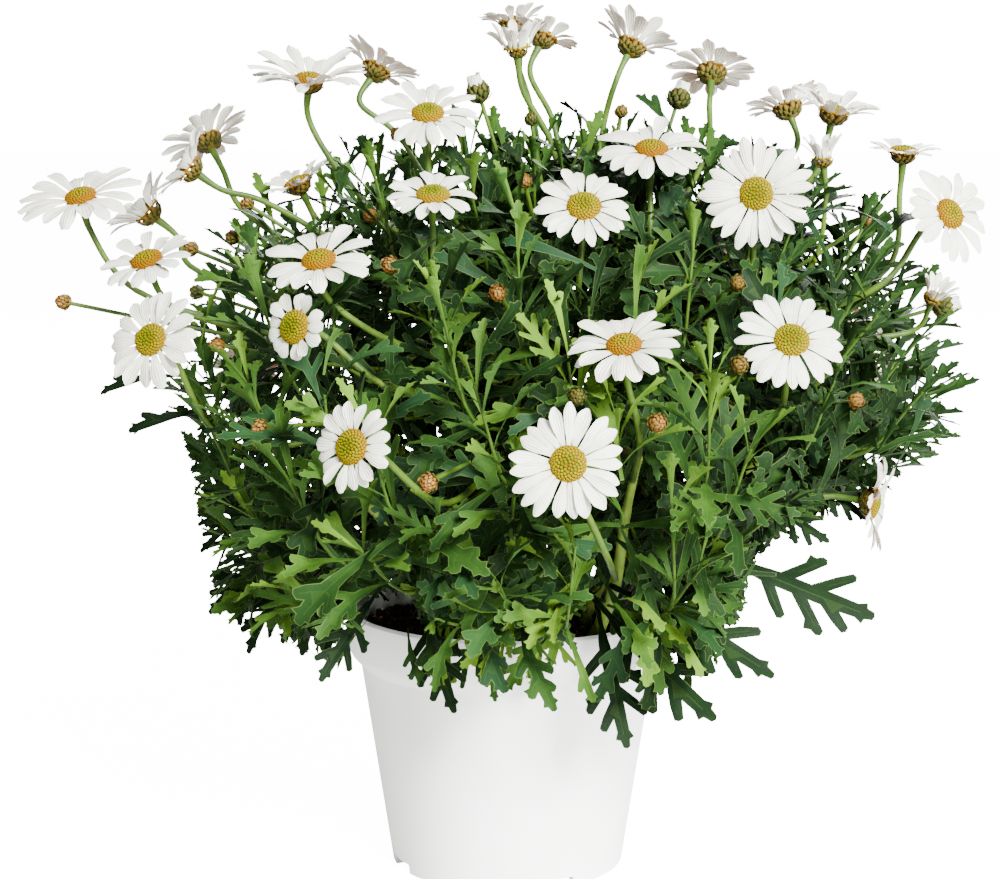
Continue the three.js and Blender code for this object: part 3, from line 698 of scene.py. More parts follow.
def ray_ring_tree():
    """Sets the rays of a head in a ring, in two layers, each with a little of its own."""
    nodes, given = new_tree(
        "ray_ring", Collection=["Shapes"], Int=["Kinds", "Count", "Seed"],
        Float=["Ring Radius", "Length", "Width", "Rise", "Spread", "Layer Gap"])
    seed, spread = given["Seed"], given["Spread"]
    index = nodes.out("GeometryNodeInputIndex")
    jitter = nodes.times(nodes.random(-0.5, 0.5, 11), spread)
    angle = nodes.times(nodes.math("DIVIDE", nodes.math("ADD", index, jitter), given["Count"]), math.tau)
    layer = nodes.times(nodes.math("MODULO", index, 2.0), given["Layer Gap"])
    place = nodes.on_ring(given["Ring Radius"], angle, layer)
    own_rise = nodes.scaled(nodes.random(-0.5, 0.5, seed), spread, given["Rise"])
    roll = nodes.times(nodes.random(-0.5, 0.5, 23), spread)
    aim = nodes.vector(own_rise, roll, nodes.less(angle, math.pi / 2))
    stretch = nodes.times(given["Length"], nodes.random(0.86, 1.03, seed))
    broad = nodes.times(given["Width"], nodes.random(0.88, 1.12, 37))
    scale = nodes.vector(broad, stretch, given["Length"])
    pick = nodes.math("FLOOR", nodes.times(nodes.random(0.0, 0.999, seed), given["Kinds"]))
    points = nodes.out("GeometryNodePoints", {"Count": given["Count"], "Position": place})
    return close_tree(nodes, given, nodes.set_shapes(points, given["Shapes"], pick, aim, scale))


def crumbs_tree():
    """Strews bits from a box over the upper faces of the ground."""
    nodes, given = new_tree("crumbs", Collection=["Shapes"], Int=["Seed"],
                            Float=["Density", "Least", "Most"])
    height = nodes.add("ShaderNodeSeparateXYZ", {0: nodes.out("GeometryNodeInputNormal")}).outputs["Z"]
    upper = nodes.math("GREATER_THAN", height, 0.7)
    spots = nodes.out("GeometryNodeDistributePointsOnFaces", {
        "Mesh": given["Geometry"], "Selection": upper, "Density": given["Density"], "Seed": given["Seed"]})
    turn = nodes.random((0, 0, 0), (math.tau,) * 3, 5, "FLOAT_VECTOR")
    size = nodes.random(given["Least"], given["Most"], 6)
    pick = nodes.random(0, len(SOIL_BITS) - 1, 7, "INT")
    return close_tree(nodes, given, nodes.set_shapes(spots, given["Shapes"], pick, turn, size))


# Surface effects that several finishes share


def new_group(title, sizes, masks):
    """A shader group with named sizes in and masks out."""
    group = bpy.data.node_groups.new(title, "ShaderNodeTree")
    for side, names in (("INPUT", sizes), ("OUTPUT", masks)):
        for name in names:
            group.interface.new_socket(name, in_out=side, socket_type="NodeSocketFloat")
    nodes = Nodes(group)
    return nodes, nodes.add("NodeGroupInput").outputs


def mottle_group():
    """Blotches and grain as masks, and a height for bumps. Scales are in patterns to the metre."""
    nodes, given = new_group("mottle", ("Blotch Scale", "Grain Scale"), ("Blotches", "Grain", "Height"))
    where = nodes.add("ShaderNodeTexCoord").outputs["Object"]
    blotches = nodes.step(nodes.clouds(where, given["Blotch Scale"], 3.0), 0.32, 0.68)
    grain = nodes.step(nodes.clouds(where, given["Grain Scale"], 2.0), 0.3, 0.7)
    nodes.add("NodeGroupOutput", {0: blotches, 1: grain, 2: nodes.scaled(grain, 0.4, blotches)})
    return nodes.tree


def veins_group():
    """Masks from a blade's own measure: 0 at its edge, 1 on the rib of its face, -1 on the rib below."""
    nodes, given = new_group("veins", ("Edge Width", "Rib Width"), ("Edge", "Rib", "Underside"))
    measure = nodes.own("blade")
    depth = nodes.math("ABSOLUTE", measure)
    edge = nodes.less(1.0, nodes.step(depth, 0.0, given["Edge Width"]))
    rib = nodes.step(depth, nodes.less(1.0, given["Rib Width"]), 1.0)
    nodes.add("NodeGroupOutput", {0: edge, 1: rib, 2: nodes.math("LESS_THAN", measure, 0.0)})
    return nodes.tree


MOTTLE = mottle_group()
VEINS = veins_group()


class Finish(Nodes):
    """A material with its shader, and the nodes to build its pattern with."""

    def __init__(self, title, **fixed):
        self.material = bpy.data.materials.new(title)
        self.material.use_nodes = True
        super().__init__(self.material.node_tree)
        self.shader = self.tree.nodes["Principled BSDF"]
        for name, value in fixed.items():
            self.shader.inputs[name.replace("_", " ")].default_value = value

    def masks(self, group, *sizes):
        """The masks of a shader group at its sizes."""
        return self.add("ShaderNodeGroup", dict(enumerate(sizes)), node_tree=group).outputs

    def tint(self, share, low, high):
        """A mix of two colours, each a colour code or a socket."""
        low, high = (paint(c) if isinstance(c, str) else c for c in (low, high))
        return self.out("ShaderNodeMix", {"Factor": share, "A": low, "B": high}, data_type="RGBA")

    def glaze(self, colour, mask, share, over):
        """A colour with a share of another over it where the mask is."""
        return self.tint(self.times(mask, share), colour, over)

    def ramp(self, value, *stops):
        """A colour for each value, from stops of a place and a colour code."""
        node = self.add("ShaderNodeValToRGB", {"Fac": value})
        band = node.color_ramp
        while len(band.elements) < len(stops):
            band.elements.new(0.5)
        for element, (place, code) in zip(band.elements, stops):
            element.position = place
            element.color = paint(code)
        return node.outputs["Color"]

    def done(self, colour, roughness, height, strength, depth):
        """The finished material. The depth of its bumps is in millimetres."""
        bump = self.out("ShaderNodeBump", {"Strength": strength, "Distance": depth * MM, "Height": height})
        for name, value in (("Base Color", colour), ("Roughness", roughness), ("Normal", bump)):
            self.feed(self.shader.inputs[name], value)
        return self.material


# Finishes


def leaf_finish():
    """Fleshy green leaves: bright while young, some bluish, paler below and along ribs, with pale edges that
    are partly a painted highlight, and painted shade and light carried in their age.
    """
    leaf = Finish("leaf_green", Specular_IOR_Level=0.04)
    spots = leaf.masks(MOTTLE, 60, 900)
    marks = leaf.masks(VEINS, 0.12, 0.2)
    # The stored age also carries painted shade and painted light for where each shoot stands.
    age = leaf.scaled(leaf.less(spots["Blotches"], 0.5), 0.16, leaf.own("age"))
    green = leaf.ramp(age, (0.0, "#4a661a"), (0.3, "#284212"), (0.6, "#14290d"), (1.0, "#0a1809"))
    green = leaf.glaze(green, leaf.step(leaf.own("hue"), 0.62, 0.95), 0.5, "#1a3420")
    green = leaf.glaze(green, marks["Rib"], 0.06, "#466418")
    green = leaf.glaze(green, marks["Underside"], 0.3, "#2c4820")
    # Pale edges: partly the leaf's own paler margin, partly a painted highlight where light catches the
    # edge.
    green = leaf.glaze(green, marks["Edge"], 0.22, "#84a050")
    rough = leaf.scaled(marks["Underside"], 0.15, leaf.scaled(spots["Grain"], 0.12, 0.5))
    relief = leaf.scaled(marks["Rib"], -0.8, leaf.times(spots["Grain"], 0.25))
    return leaf.done(green, rough, relief, 0.5, 0.4)


def stem_finish(title, young, old, woody):
    """Stems and stalks: pale green with fine streaks, browner towards an old foot."""
    stem = Finish(title, Specular_IOR_Level=0.15)
    spots = stem.masks(MOTTLE, 90, 700)
    bark = stem.step(stem.scaled(spots["Grain"], 0.25, stem.own("wood")), 0.55, 1.0)
    colour = stem.tint(bark, stem.tint(spots["Blotches"], young, old), woody)
    return stem.done(colour, stem.scaled(bark, 0.25, 0.45), spots["Height"], 0.4, 0.3)


def ray_finish():
    """White rays with fine lengthwise ribs and grey painted shade along their grooves, a yellow-green foot,
    and a soft sheen.
    """
    ray = Finish("ray_white", Subsurface_Weight=0.12, Subsurface_Scale=0.002)
    spots = ray.masks(MOTTLE, 110, 1400)
    foot = ray.less(1.0, ray.step(ray.own("along"), 0.02, 0.22))
    white = ray.glaze(ray.tint(spots["Blotches"], "#cecdbe", "#bdbcac"), foot, 0.6, "#b4b46c")
    grooves_and_painted_shade = ray.math("COSINE", ray.times(ray.own("across"), 15.0))
    # Painted shade: grey laid into the grooves between the fine ribs.
    white = ray.glaze(white, ray.step(grooves_and_painted_shade, 0.4, 1.0), 0.4, "#8e8f86")
    relief = ray.scaled(grooves_and_painted_shade, -0.7, ray.times(spots["Grain"], 0.2))
    return ray.done(white, ray.scaled(spots["Grain"], 0.1, 0.5), relief, 0.45, 0.35)


def floret_finish():
    """Florets from the green of a young heart through yellow to the orange of an old disc, with painted
    shade in their hollows and on the seat between them.
    """
    floret = Finish("floret_yellow", Specular_IOR_Level=0.04)
    spots = floret.masks(MOTTLE, 400, 2500)
    ripe = floret.scaled(floret.less(spots["Grain"], 0.5), 0.1, floret.own("ripe"))
    colour = floret.ramp(ripe, (0.0, "#475600"), (0.25, "#5f6400"), (0.45, "#6a6000"), (0.7, "#6e5000"),
                         (1.0, "#6c3800"))
    # Painted shade: dark brown deep in each floret's hollow and on the seat between the florets.
    colour = floret.tint(floret.step(floret.own("depth"), 0.35, 0.9), colour, "#543600")
    return floret.done(colour, floret.scaled(spots["Grain"], 0.2, 0.7), spots["Grain"], 0.4, 0.2)


def bract_finish():
    """Bracts: green scales with thin brown papery edges, tan all over on some buds."""
    bract = Finish("bract_scale", Specular_IOR_Level=0.12)
    spots = bract.masks(MOTTLE, 250, 1600)
    marks = bract.masks(VEINS, 0.5, 0.3)
    ripe = bract.own("ripe")
    body = bract.ramp(ripe, (0.0, "#202e0a"), (0.4, "#42400e"), (0.75, "#64481a"), (1.0, "#7a5824"))
    rim = bract.ramp(ripe, (0.0, "#1a1a06"), (0.5, "#3a280a"), (1.0, "#66441a"))
    colour = bract.glaze(body, marks["Edge"], 0.7, rim)
    colour = bract.glaze(colour, spots["Blotches"], 0.15, "#5c4a26")
    return bract.done(colour, bract.scaled(spots["Grain"], 0.2, 0.5), spots["Height"], 0.4, 0.25)


def pot_finish():
    """White satin plastic with a hardly seen unevenness and a few fine rub marks."""
    plastic = Finish("pot_plastic", Specular_IOR_Level=0.45, Coat_Weight=0.08)
    spots = plastic.masks(MOTTLE, 14, 1200)
    white = plastic.tint(spots["Blotches"], "#f4f4f2", "#eeeeeb")
    where = plastic.add("ShaderNodeTexCoord").outputs["Object"]
    stretched = plastic.out("ShaderNodeMapping", {"Vector": where, "Scale": (30, 30, 900)})
    rubs = plastic.step(plastic.clouds(stretched, 1.0, 4.0), 0.55, 0.8)
    rough = plastic.scaled(spots["Blotches"], 0.06, plastic.scaled(rubs, 0.1, 0.36))
    height = plastic.scaled(spots["Grain"], 0.2, plastic.times(spots["Blotches"], 0.8))
    return plastic.done(white, rough, height, 0.3, 0.3)


def soil_finish():
    """Dark moist potting soil."""
    soil = Finish("potting_soil", Specular_IOR_Level=0.25)
    spots = soil.masks(MOTTLE, 160, 1100)
    colour = soil.glaze(soil.tint(spots["Blotches"], "#1c1410", "#35261a"), spots["Grain"], 0.4, "#4a3828")
    return soil.done(colour, soil.scaled(spots["Grain"], 0.15, 0.8), spots["Height"], 0.8, 1.2)


def crumb_finish():
    """Bits in the soil: dark peat, brown bark, and white grains."""
    bit = Finish("soil_bit", Specular_IOR_Level=0.25)
    spots = bit.masks(MOTTLE, 500, 2600)
    colour = bit.ramp(bit.own("pale"), (0.0, "#1e1510"), (0.35, "#4b3220"), (0.6, "#7a5a3c"),
                      (1.0, "#d8d4ca"))
    colour = bit.glaze(colour, spots["Blotches"], 0.35, "#3a2a1c")
    return bit.done(colour, bit.scaled(spots["Grain"], 0.15, 0.78), spots["Height"], 0.6, 0.5)


# The pot


def pot_outline():
    """Up the outside of the pot, over its rim, and down the inside."""
    inside = RIM_RADIUS - WALL
    return [
        (0, FLOOR_LIFT), (FOOT_RING, FLOOR_LIFT), (FOOT_RING, 0), (FOOT_RADIUS, 0),
        (SHOULDER, CHAMFER_FOOT), (RIM_RADIUS - RIM_ROUNDING, BAND_FOOT - BAND_LIP),
        (RIM_RADIUS, BAND_FOOT), (RIM_RADIUS, POT_HEIGHT - RIM_ROUNDING),
        (RIM_RADIUS - RIM_CHAMFER, POT_HEIGHT), (inside, POT_HEIGHT), (inside - BAND_DRAFT, BAND_FOOT),
        (SHOULDER - WALL, CHAMFER_FOOT), (INNER_FOOT, FLOOR_LIFT + WALL), (0, FLOOR_LIFT + WALL),
    ]


def pot_cutters():
    """The notches in the foot and the drain holes in the floor, as one body to cut away."""
    cutter = bmesh.new()
    size = Matrix.Diagonal((NOTCH_REACH, NOTCH_WIDTH, 2 * NOTCH_HEIGHT, 1))
    for degrees in NOTCH_ANGLES:
        place = Matrix.Rotation(math.radians(degrees), 4, "Z") @ Matrix.Translation((FOOT_RADIUS - 1, 0, 0))
        bmesh.ops.create_cube(cutter, size=1, matrix=place @ size)
    spots = [Vector((0, 0, FLOOR_LIFT))]
    for degrees in DRAIN_ANGLES:
        turn = math.radians(degrees)
        spots.append(Vector((DRAIN_CIRCLE * math.cos(turn), DRAIN_CIRCLE * math.sin(turn), FLOOR_LIFT)))
    for spot in spots:
        bmesh.ops.create_cone(cutter, cap_ends=True, segments=32, radius1=DRAIN_RADIUS,
                              radius2=DRAIN_RADIUS, depth=DRAIN_REACH, matrix=Matrix.Translation(spot))
    return body_object("pot_cutters", cutter)


def make_pot(finish):
    pot = mesh_object("pot_shell", *turned(pot_outline(), POT_SIDES))
    face_outwards(pot)
    cutters = pot_cutters()
    cut = pot.modifiers.new("notches and drains", "BOOLEAN")
    cut.object = cutters
    cut.operation = "DIFFERENCE"
    cut.solver = "EXACT"
    edges = pot.modifiers.new("moulded edges", "BEVEL")
    edges.width = MOULDED_EDGE * MM
    edges.segments = 3
    edges.limit_method = "ANGLE"
    edges.angle_limit = math.radians(24)
    edges.harden_normals = True
    smooth(pot)
    pot.data.materials.append(finish)
    bake(pot)
    drop_shapes(cutters)
    settle(pot, ["pot"])


# The soil


def ground_height(x, y):
    """Height of the soil over its level, with clods."""
    place = Vector((x, y, 0))
    clods = noise.fractal(place / 9, 1.0, 2.0, 4)
    heap = 0.9 * math.sin(x / 9) * math.cos(y / 11)
    return heap + 1.5 * clods


def soil_outline():
    """Up the wall of the pot and in to the middle, where the soil is heaped a little."""
    low = FLOOR_LIFT + WALL + SOIL_FLOOR_GAP
    outline = [(0, low), (INNER_FOOT - SOIL_GAP, low), (SHOULDER - WALL - SHOULDER_GAP, CHAMFER_FOOT),
               (SOIL_RADIUS, BAND_FOOT + 1), (SOIL_RADIUS, SOIL_LEVEL - SOIL_EDGE)]
    for ring in range(1, SOIL_RINGS):
        share = 1 - ring / SOIL_RINGS
        outline.append((SOIL_RADIUS * share, SOIL_LEVEL + mix(SOIL_HEAP, -SOIL_SINK, share)))
    return [*outline, (0, SOIL_LEVEL + SOIL_HEAP)]


def make_soil(finish, bit_finish, crumbs):
    points, faces = turned(soil_outline(), SOIL_SIDES)
    shaped = []
    for x, y, z in points:
        calm = ease(0, CALM_EDGE, SOIL_RADIUS - math.hypot(x, y))
        lift = ground_height(x, y) * calm if z > SOIL_LEVEL - SOIL_EDGE else 0
        shaped.append((x, y, z + lift))
    soil = smooth_shell(mesh_object("soil_ground", shaped, faces))
    soil.data.materials.append(finish)
    box = shape_box("soil_bits", [soil_bit(i, *bit) for i, bit in enumerate(SOIL_BITS)])
    bits = mesh_object("soil_bits", shaped, faces)
    use_tree(bits, crumbs, Shapes=box, Density=24000.0, Least=0.7, Most=1.7, Seed=3, Finish=bit_finish)
    bake(bits)
    drop_shapes(*box.objects)
    settle(soil, ["soil"])
    settle(bits)


def soil_bit(i, pale, flatness, size):
    """One bit of the soil: a peat crumb, a chip of bark or a white grain."""
    draw = random.Random(SOIL_SEED + i)
    lump = bmesh.new()
    bmesh.ops.create_icosphere(lump, subdivisions=1, radius=size)
    for v in lump.verts:
        v.co *= draw.uniform(0.72, 1.2)
        v.co.z *= flatness
    bit = body_object(f"soil_bit_{i}", lump)
    set_attribute(bit.data, "pale", [pale] * len(bit.data.vertices))
    return bit


# Leaf shapes, one length long, with the foot at the origin and the tip on +Y


def finger(foot, reach, lean, width, toothed):
    """One side lobe of a leaf, from its lower to its upper foot, on the right of the rib."""
    along = Vector((math.sin(lean), math.cos(lean)))
    outer = Vector((math.cos(lean), -math.sin(lean)))
    start = Vector((0, foot))

    def spot(out, aside):
        return start + along * (out * reach) + outer * (aside * width)

    lower_foot = width * (WING - math.cos(lean)) / math.sin(lean) / reach
    upper_foot = width * (WING + math.cos(lean)) / math.sin(lean) / reach
    edge = [spot(lower_foot, 1.0), spot(0.6, 1.1)]
    if toothed:
        edge += [spot(0.74, 2.1), spot(0.82, 1.15)]
    edge += [spot(0.95, 0.85), spot(1.0, 0.1), spot(0.96, -0.7), spot(upper_foot, -1.0)]
    return edge, [spot(0.45, 0), spot(0.78, 0)]


LEAF_KINDS = (
    # lobes on the right and on the left (foot, reach, lean in degrees, toothed),
    # half width of a lobe, arch, fold, twist
    (((0.44, 0.24, 38, False), (0.65, 0.22, 32, True)), ((0.52, 0.25, 36, True), (0.71, 0.17, 34, False)),
     0.037, 0.9, 0.42, 0.3),
    (((0.58, 0.25, 32, False),), ((0.49, 0.21, 36, False), (0.68, 0.20, 32, False)),
     0.039, 1.3, 0.40, -0.35),
    (((0.68, 0.22, 34, False),), ((0.61, 0.24, 36, True),),
     0.043, 0.8, 0.45, 0.4),
    (((0.63, 0.22, 30, False),), (),
     0.038, 1.15, 0.35, -0.2),
    (((0.36, 0.25, 46, False), (0.53, 0.29, 40, True), (0.69, 0.22, 34, False)),
     ((0.44, 0.28, 44, True), (0.61, 0.27, 38, False)),
     0.031, 0.5, 0.20, 0.2),
    (((0.62, 0.21, 34, False),), ((0.67, 0.20, 34, False),),
     0.046, 0.35, 0.45, 0.1),
    (((0.50, 0.26, 36, False),), ((0.66, 0.22, 36, False),),
     0.054, 0.5, 0.35, 0.3),
)
ARCH = 3
WING = 1.35
LEAF_THICKNESS = 0.014
FLAT_PART = 0.5
RIB_SPOTS = (0.08, 0.25, 0.42, 0.56, 0.70, 0.82, 0.91)
FULL_LEAF, ARCHED_LEAF, FORKED_LEAF, NARROW_LEAF, BROAD_LEAF, YOUNG_LEAF, OLD_LEAF = range(len(LEAF_KINDS))


def half_leaf(lobes, width):
    """Edge and rib points of one half."""
    widest = lobes[0][0] if lobes else 0.6
    edge = [Vector((0.018, 0)), Vector((0.5 * width, 0.2)), Vector((1.15 * width, widest - 0.07))]
    ribs = []
    for foot, reach, lean, toothed in lobes:
        outline, middle = finger(foot, reach, math.radians(lean), width, toothed)
        edge += outline
        ribs += middle
    edge += [Vector((1.25 * width, 0.89)), Vector((1.9 * width, 0.935)), Vector((1.0 * width, 0.945))]
    edge.append(Vector((0.7 * width, 0.99)))
    return edge, ribs


def corners_in_turn(face):
    """The pairs of neighbouring corners round a face."""
    return list(zip(face, (*face[1:], face[0])))


def split_crossings(flat, faces, is_edge):
    """Splits each line that crosses the blade from edge to edge, so that its middle can be raised."""
    uses = {}
    for face in faces:
        for pair in corners_in_turn(face):
            uses.setdefault(frozenset(pair), []).append(face)
    middles = {}
    for pair, users in uses.items():
        if len(users) == 2 and all(is_edge[k] for k in pair):
            middles[pair] = len(flat)
            flat.append(sum((flat[k] for k in pair), Vector((0, 0))) / 2)
            is_edge.append(False)
    split = []
    for face in faces:
        ring = []
        for a, b in corners_in_turn(face):
            ring.append(a)
            if frozenset((a, b)) in middles:
                ring.append(middles[frozenset((a, b))])
        first = next((i for i, k in enumerate(ring) if k in middles.values()), 0)
        ring = ring[first:] + ring[:first]
        split += [(ring[0], b, c) for b, c in zip(ring[1:], ring[2:])]
    return split


def bend_blade(flat, lift, arch, fold, twist):
    """A point of the flat blade, folded along its rib, arched back over its length and twisted."""
    x, y = flat
    roll = twist * y * y
    across = x * math.cos(roll)
    above = lift + fold * abs(x) + x * math.sin(roll)
    angle = arch * y
    return Vector((across, math.sin(angle) / arch + above * math.sin(angle),
                   (math.cos(angle) - 1) / arch + above * math.cos(angle)))


def leaf_shape(name, kind):
    """A closed thin blade: one skin above and one below, which meet at the edge and nowhere else."""
    right_lobes, left_lobes, width, arch, fold, twist = LEAF_KINDS[kind]
    right, right_ribs = half_leaf(right_lobes, width)
    left, left_ribs = half_leaf(left_lobes, width)
    outline = right + [Vector((0, 1))] + [Vector((-p.x, p.y)) for p in reversed(left)]
    ribs = [Vector((0, y)) for y in RIB_SPOTS] + right_ribs + [Vector((-p.x, p.y)) for p in left_ribs]
    sides = len(outline)
    rib_line = [(sides + k, sides + k + 1) for k in range(len(RIB_SPOTS) - 1)]
    cut = geometry.delaunay_2d_cdt(outline + ribs, rib_line, [list(range(sides))], 1, 1e-6)
    flat = list(cut[0])
    is_edge = [any(k < sides for k in origin) for origin in cut[3]]
    depth = [0.0 if edge else 1.0 for edge in is_edge]
    above = split_crossings(flat, [tuple(face) for face in cut[2]], is_edge)
    depth += [FLAT_PART] * (len(flat) - len(depth))
    lifts = [0.5 * LEAF_THICKNESS * share for share in depth]
    points = [bend_blade(p, lift, arch, fold, twist) for p, lift in zip(flat, lifts)]
    measure = list(depth)
    twin = {}
    for k, p in enumerate(flat):
        if is_edge[k]:
            twin[k] = k
        else:
            twin[k] = len(points)
            points.append(bend_blade(p, -lifts[k], arch, fold, twist))
            measure.append(-depth[k])
    below = [tuple(twin[k] for k in reversed(face)) for face in above]
    return crisp_blade(mesh_object(name, points, above + below, attributes={"blade": measure}, unit=1))


# Where leaves grow


def head_rows():
    rows = [dict(zip(HEAD_FIELDS, row)) for row in HEADS]
    for row in rows:
        row["normal"] = Vector(row["face"]).normalized()
        row["place"] = Vector(row["at"])
    return rows


HEAD_ROWS = head_rows()


def distance_to_line(point, start, end):
    line = end - start
    share = min(max((point - start).dot(line) / line.length_squared, 0), 1)
    return (point - start - line * share).length, share


def hides_a_head(point):
    """True close over a head's face, and in front of a head as seen from the viewpoint."""
    for head in HEAD_ROWS:
        offset = point - head["place"]
        height = offset.dot(head["normal"])
        away = math.sqrt(max(offset.length_squared - height * height, 0))
        if away < head["radius"] + HEAD_ROOM and -HEAD_ROOM < height < OPEN_VIEW:
            return True
        if head["place"].y < HEADS_AT_THE_BACK:
            gap, share = distance_to_line(point, head["place"], CAMERA_PLACE)
            if share > 0.004 and gap < SEEN_PART * head["radius"]:
                return True
    return False


def crosses_a_stalk(point):
    """True beside the bare upper part of a flower stalk."""
    return any(distance_to_line(point, Vector(head["bend"]), head["place"])[0] < STALK_ROOM
               for head in HEAD_ROWS)


def from_the_front(point):
    """Where a point shows, seen from the viewpoint, against the plane through the pot's middle."""
    share = CAMERA_PLACE.y / (CAMERA_PLACE.y - point.y)
    seen = CAMERA_PLACE.lerp(point, share)
    return seen.x, seen.z


def outside_the_bush(point):
    """True in the pot, and below the lower outline that the bush shows from the front."""
    if point.z < POT_HEIGHT + POT_ROOM and math.hypot(point.x, point.y) < RIM_RADIUS + POT_ROOM:
        return True
    x, z = from_the_front(point)
    for (left, left_z), (right, right_z) in zip(UNDERSIDE, UNDERSIDE[1:]):
        if left <= x < right:
            return z < mix(left_z, right_z, (x - left) / (right - left))
    return z < UNDERSIDE[0][1]


def blocks_a_view(point):
    """True in front of the soil at the rim or of the bare front stem, which both show in the photo."""
    for place, radius in OPEN_VIEWS:
        gap, share = distance_to_line(point, place, CAMERA_PLACE)
        if gap < radius and share > -0.01:
            return True
    return False


def is_taken(point):
    """True where no leaf may be."""
    return outside_the_bush(point) or hides_a_head(point) or crosses_a_stalk(point) or blocks_a_view(point)


def blade_probe(place, turn, size, kind):
    """Points of a leaf that have to be free: along its rib and at its lobes."""
    arch = LEAF_KINDS[kind][ARCH]
    spots = ((0, 0.35), (0, 0.7), (0, 1.0), (0.16, 0.72), (-0.16, 0.72))
    return [place + turn @ (bend_blade(spot, 0, arch, 0.2, 0) * size) for spot in spots]


class Foliage:
    """Gathers leaves as points with their turn, size, kind, age and hue. A shoot leaf's age also carries
    painted shade and light for where its shoot stands.
    """

    def __init__(self):
        self.rows = []

    def add(self, place, turn, size, kind, age, hue):
        self.rows.append((place, Vector(turn.to_euler()), size * MM, kind, age, hue))

    def add_free(self, place, turn, size, kind, age, hue):
        """Adds a leaf, shorter where it would hide a head or enter the pot, or not at all."""
        for shrink in (1.0, 0.78, 0.6):
            probe = blade_probe(place, turn, size * shrink, kind)
            if not any(is_taken(p) for p in probe):
                self.add(place, turn, size * shrink, kind, age, hue)
                return True
        return False

    def piece(self, name, planting, box, finish):
        places, turns, sizes, kinds, ages_and_painted_shade, hues = zip(*self.rows)
        points = mesh_object(name, places, attributes={
            "turn": turns, "size": sizes, "pick": kinds, "age": ages_and_painted_shade, "hue": hues})
        use_tree(points, planting, Shapes=box, Finish=finish)
        bake(points, spent=("turn", "size", "pick"))
        settle(points, ["leafy_plant"])


def leaf_kind(draw, from_tip):
    """Young undivided leaves at the tip of a shoot, and lobed ones below."""
    if from_tip < 2:
        return YOUNG_LEAF
    if from_tip < 4:
        return draw.choice((NARROW_LEAF, FORKED_LEAF, YOUNG_LEAF))
    return draw.choice((FULL_LEAF, ARCHED_LEAF, FULL_LEAF, FORKED_LEAF, NARROW_LEAF, BROAD_LEAF))


def shoot_path(direction, draw):
    """A shoot's stem from its fork on a main stem to its tip, turning up towards the light."""
    sway = Vector([draw.uniform(-0.2, 0.2) for _ in range(3)])
    lightward = mix(-0.25, 1.0, ease(-0.75, 0.05, direction.z)) * (1 - 0.65 * ease(0.2, 0.8, direction.x))
    heading = (direction * 0.65 + UP * lightward + sway).normalized()
    reach = draw.uniform(0.93, 1.0) + 0.07 * ease(0.2, 0.8, -direction.x)
    tip = bush_point(direction, reach) - heading * TIP_LEAF
    knee = tip - heading * LEAFY_LENGTH * 0.7
    start = bush_point((knee - BUSH_MIDDLE).normalized(), SHOOT_ROOT)
    fork = min((Vector(top) for _, top, _ in MAIN_STEMS), key=lambda top: (top - start).length)
    return smooth_path([fork, start, knee, tip], 5)


def painted_shade_by_place(outward):
    """Painted shade and painted light for a shoot's leaves by where it stands: darker at the sides, above
    and below, lighter in front.
    """
    aside = 0.46 * ease(0.1, 0.7, outward.x) + 0.12 * ease(0.3, 0.7, -outward.x)
    above = 0.22 * ease(0.4, 0.8, outward.z)
    below = 0.1 * ease(0.3, 0.7, -outward.z)
    in_front = 0.14 * ease(0.3, 0.9, -outward.y)
    return aside + above + below - in_front


def leaves_of_shoot(foliage, path, outward, draw):
    """Leaves in a spiral down a shoot, wide apart and old below, close and young at the tip.

    Returns how far up the shoot each leaf stands.
    """
    length = path_length(path)
    spin = draw.uniform(0, math.tau)
    vigour = draw.uniform(0.85, 1.12)
    # The shoot's own tone at random, plus painted shade and light for where it stands on the bush.
    tone_and_painted_shade = draw.uniform(-0.2, 0.2) + painted_shade_by_place(outward)
    blue = draw.random()
    largest = mix(LOW_LEAF, CROWN_LEAF, ease(0.1, 0.8, outward.z))
    stands = []
    for i in range(SHOOT_LEAVES):
        share = i / (SHOOT_LEAVES - 1)
        at = max(1 - LEAFY_LENGTH * share ** 1.15 / length, 0.1)
        place, heading = point_along(path, at)
        spread = math.radians(mix(10, 44, share ** 0.8) + draw.uniform(-10, 10))
        side = heading.orthogonal().normalized()
        side.rotate(Quaternion(heading, spin + i * GOLDEN_ANGLE))
        direction = heading * math.cos(spread) + side * math.sin(spread)
        sky = UP * 0.35 + heading * 0.8
        turn = leaf_turn(direction, sky, draw.uniform(-0.5, 0.5))
        size = vigour * mix(TIP_LEAF, largest, share ** 0.5) * draw.uniform(0.88, 1.14)
        age = min(max(mix(0.05, 0.85, share ** 0.8) + tone_and_painted_shade + draw.uniform(-0.15, 0.15), 0), 1)
        hue = 0.6 * blue + 0.4 * draw.random()
        if foliage.add_free(place, turn, size, leaf_kind(draw, i), age, hue):
            stands.append(at)
    return stands


def leafy_stem(path, stands):
    """A shoot's stem from its highest leaf down to where it would come in the way of something."""
    if len(stands) < FEWEST_LEAVES:
        return []
    kept = []
    for point, share in reversed(list(zip(path, path_shares(path)))):
        if share > max(stands):
            continue
        if is_taken(point):
            break
        kept.append(point)
    return kept[::-1]


def path_length(path):
    return sum((b - a).length for a, b in zip(path, path[1:]))


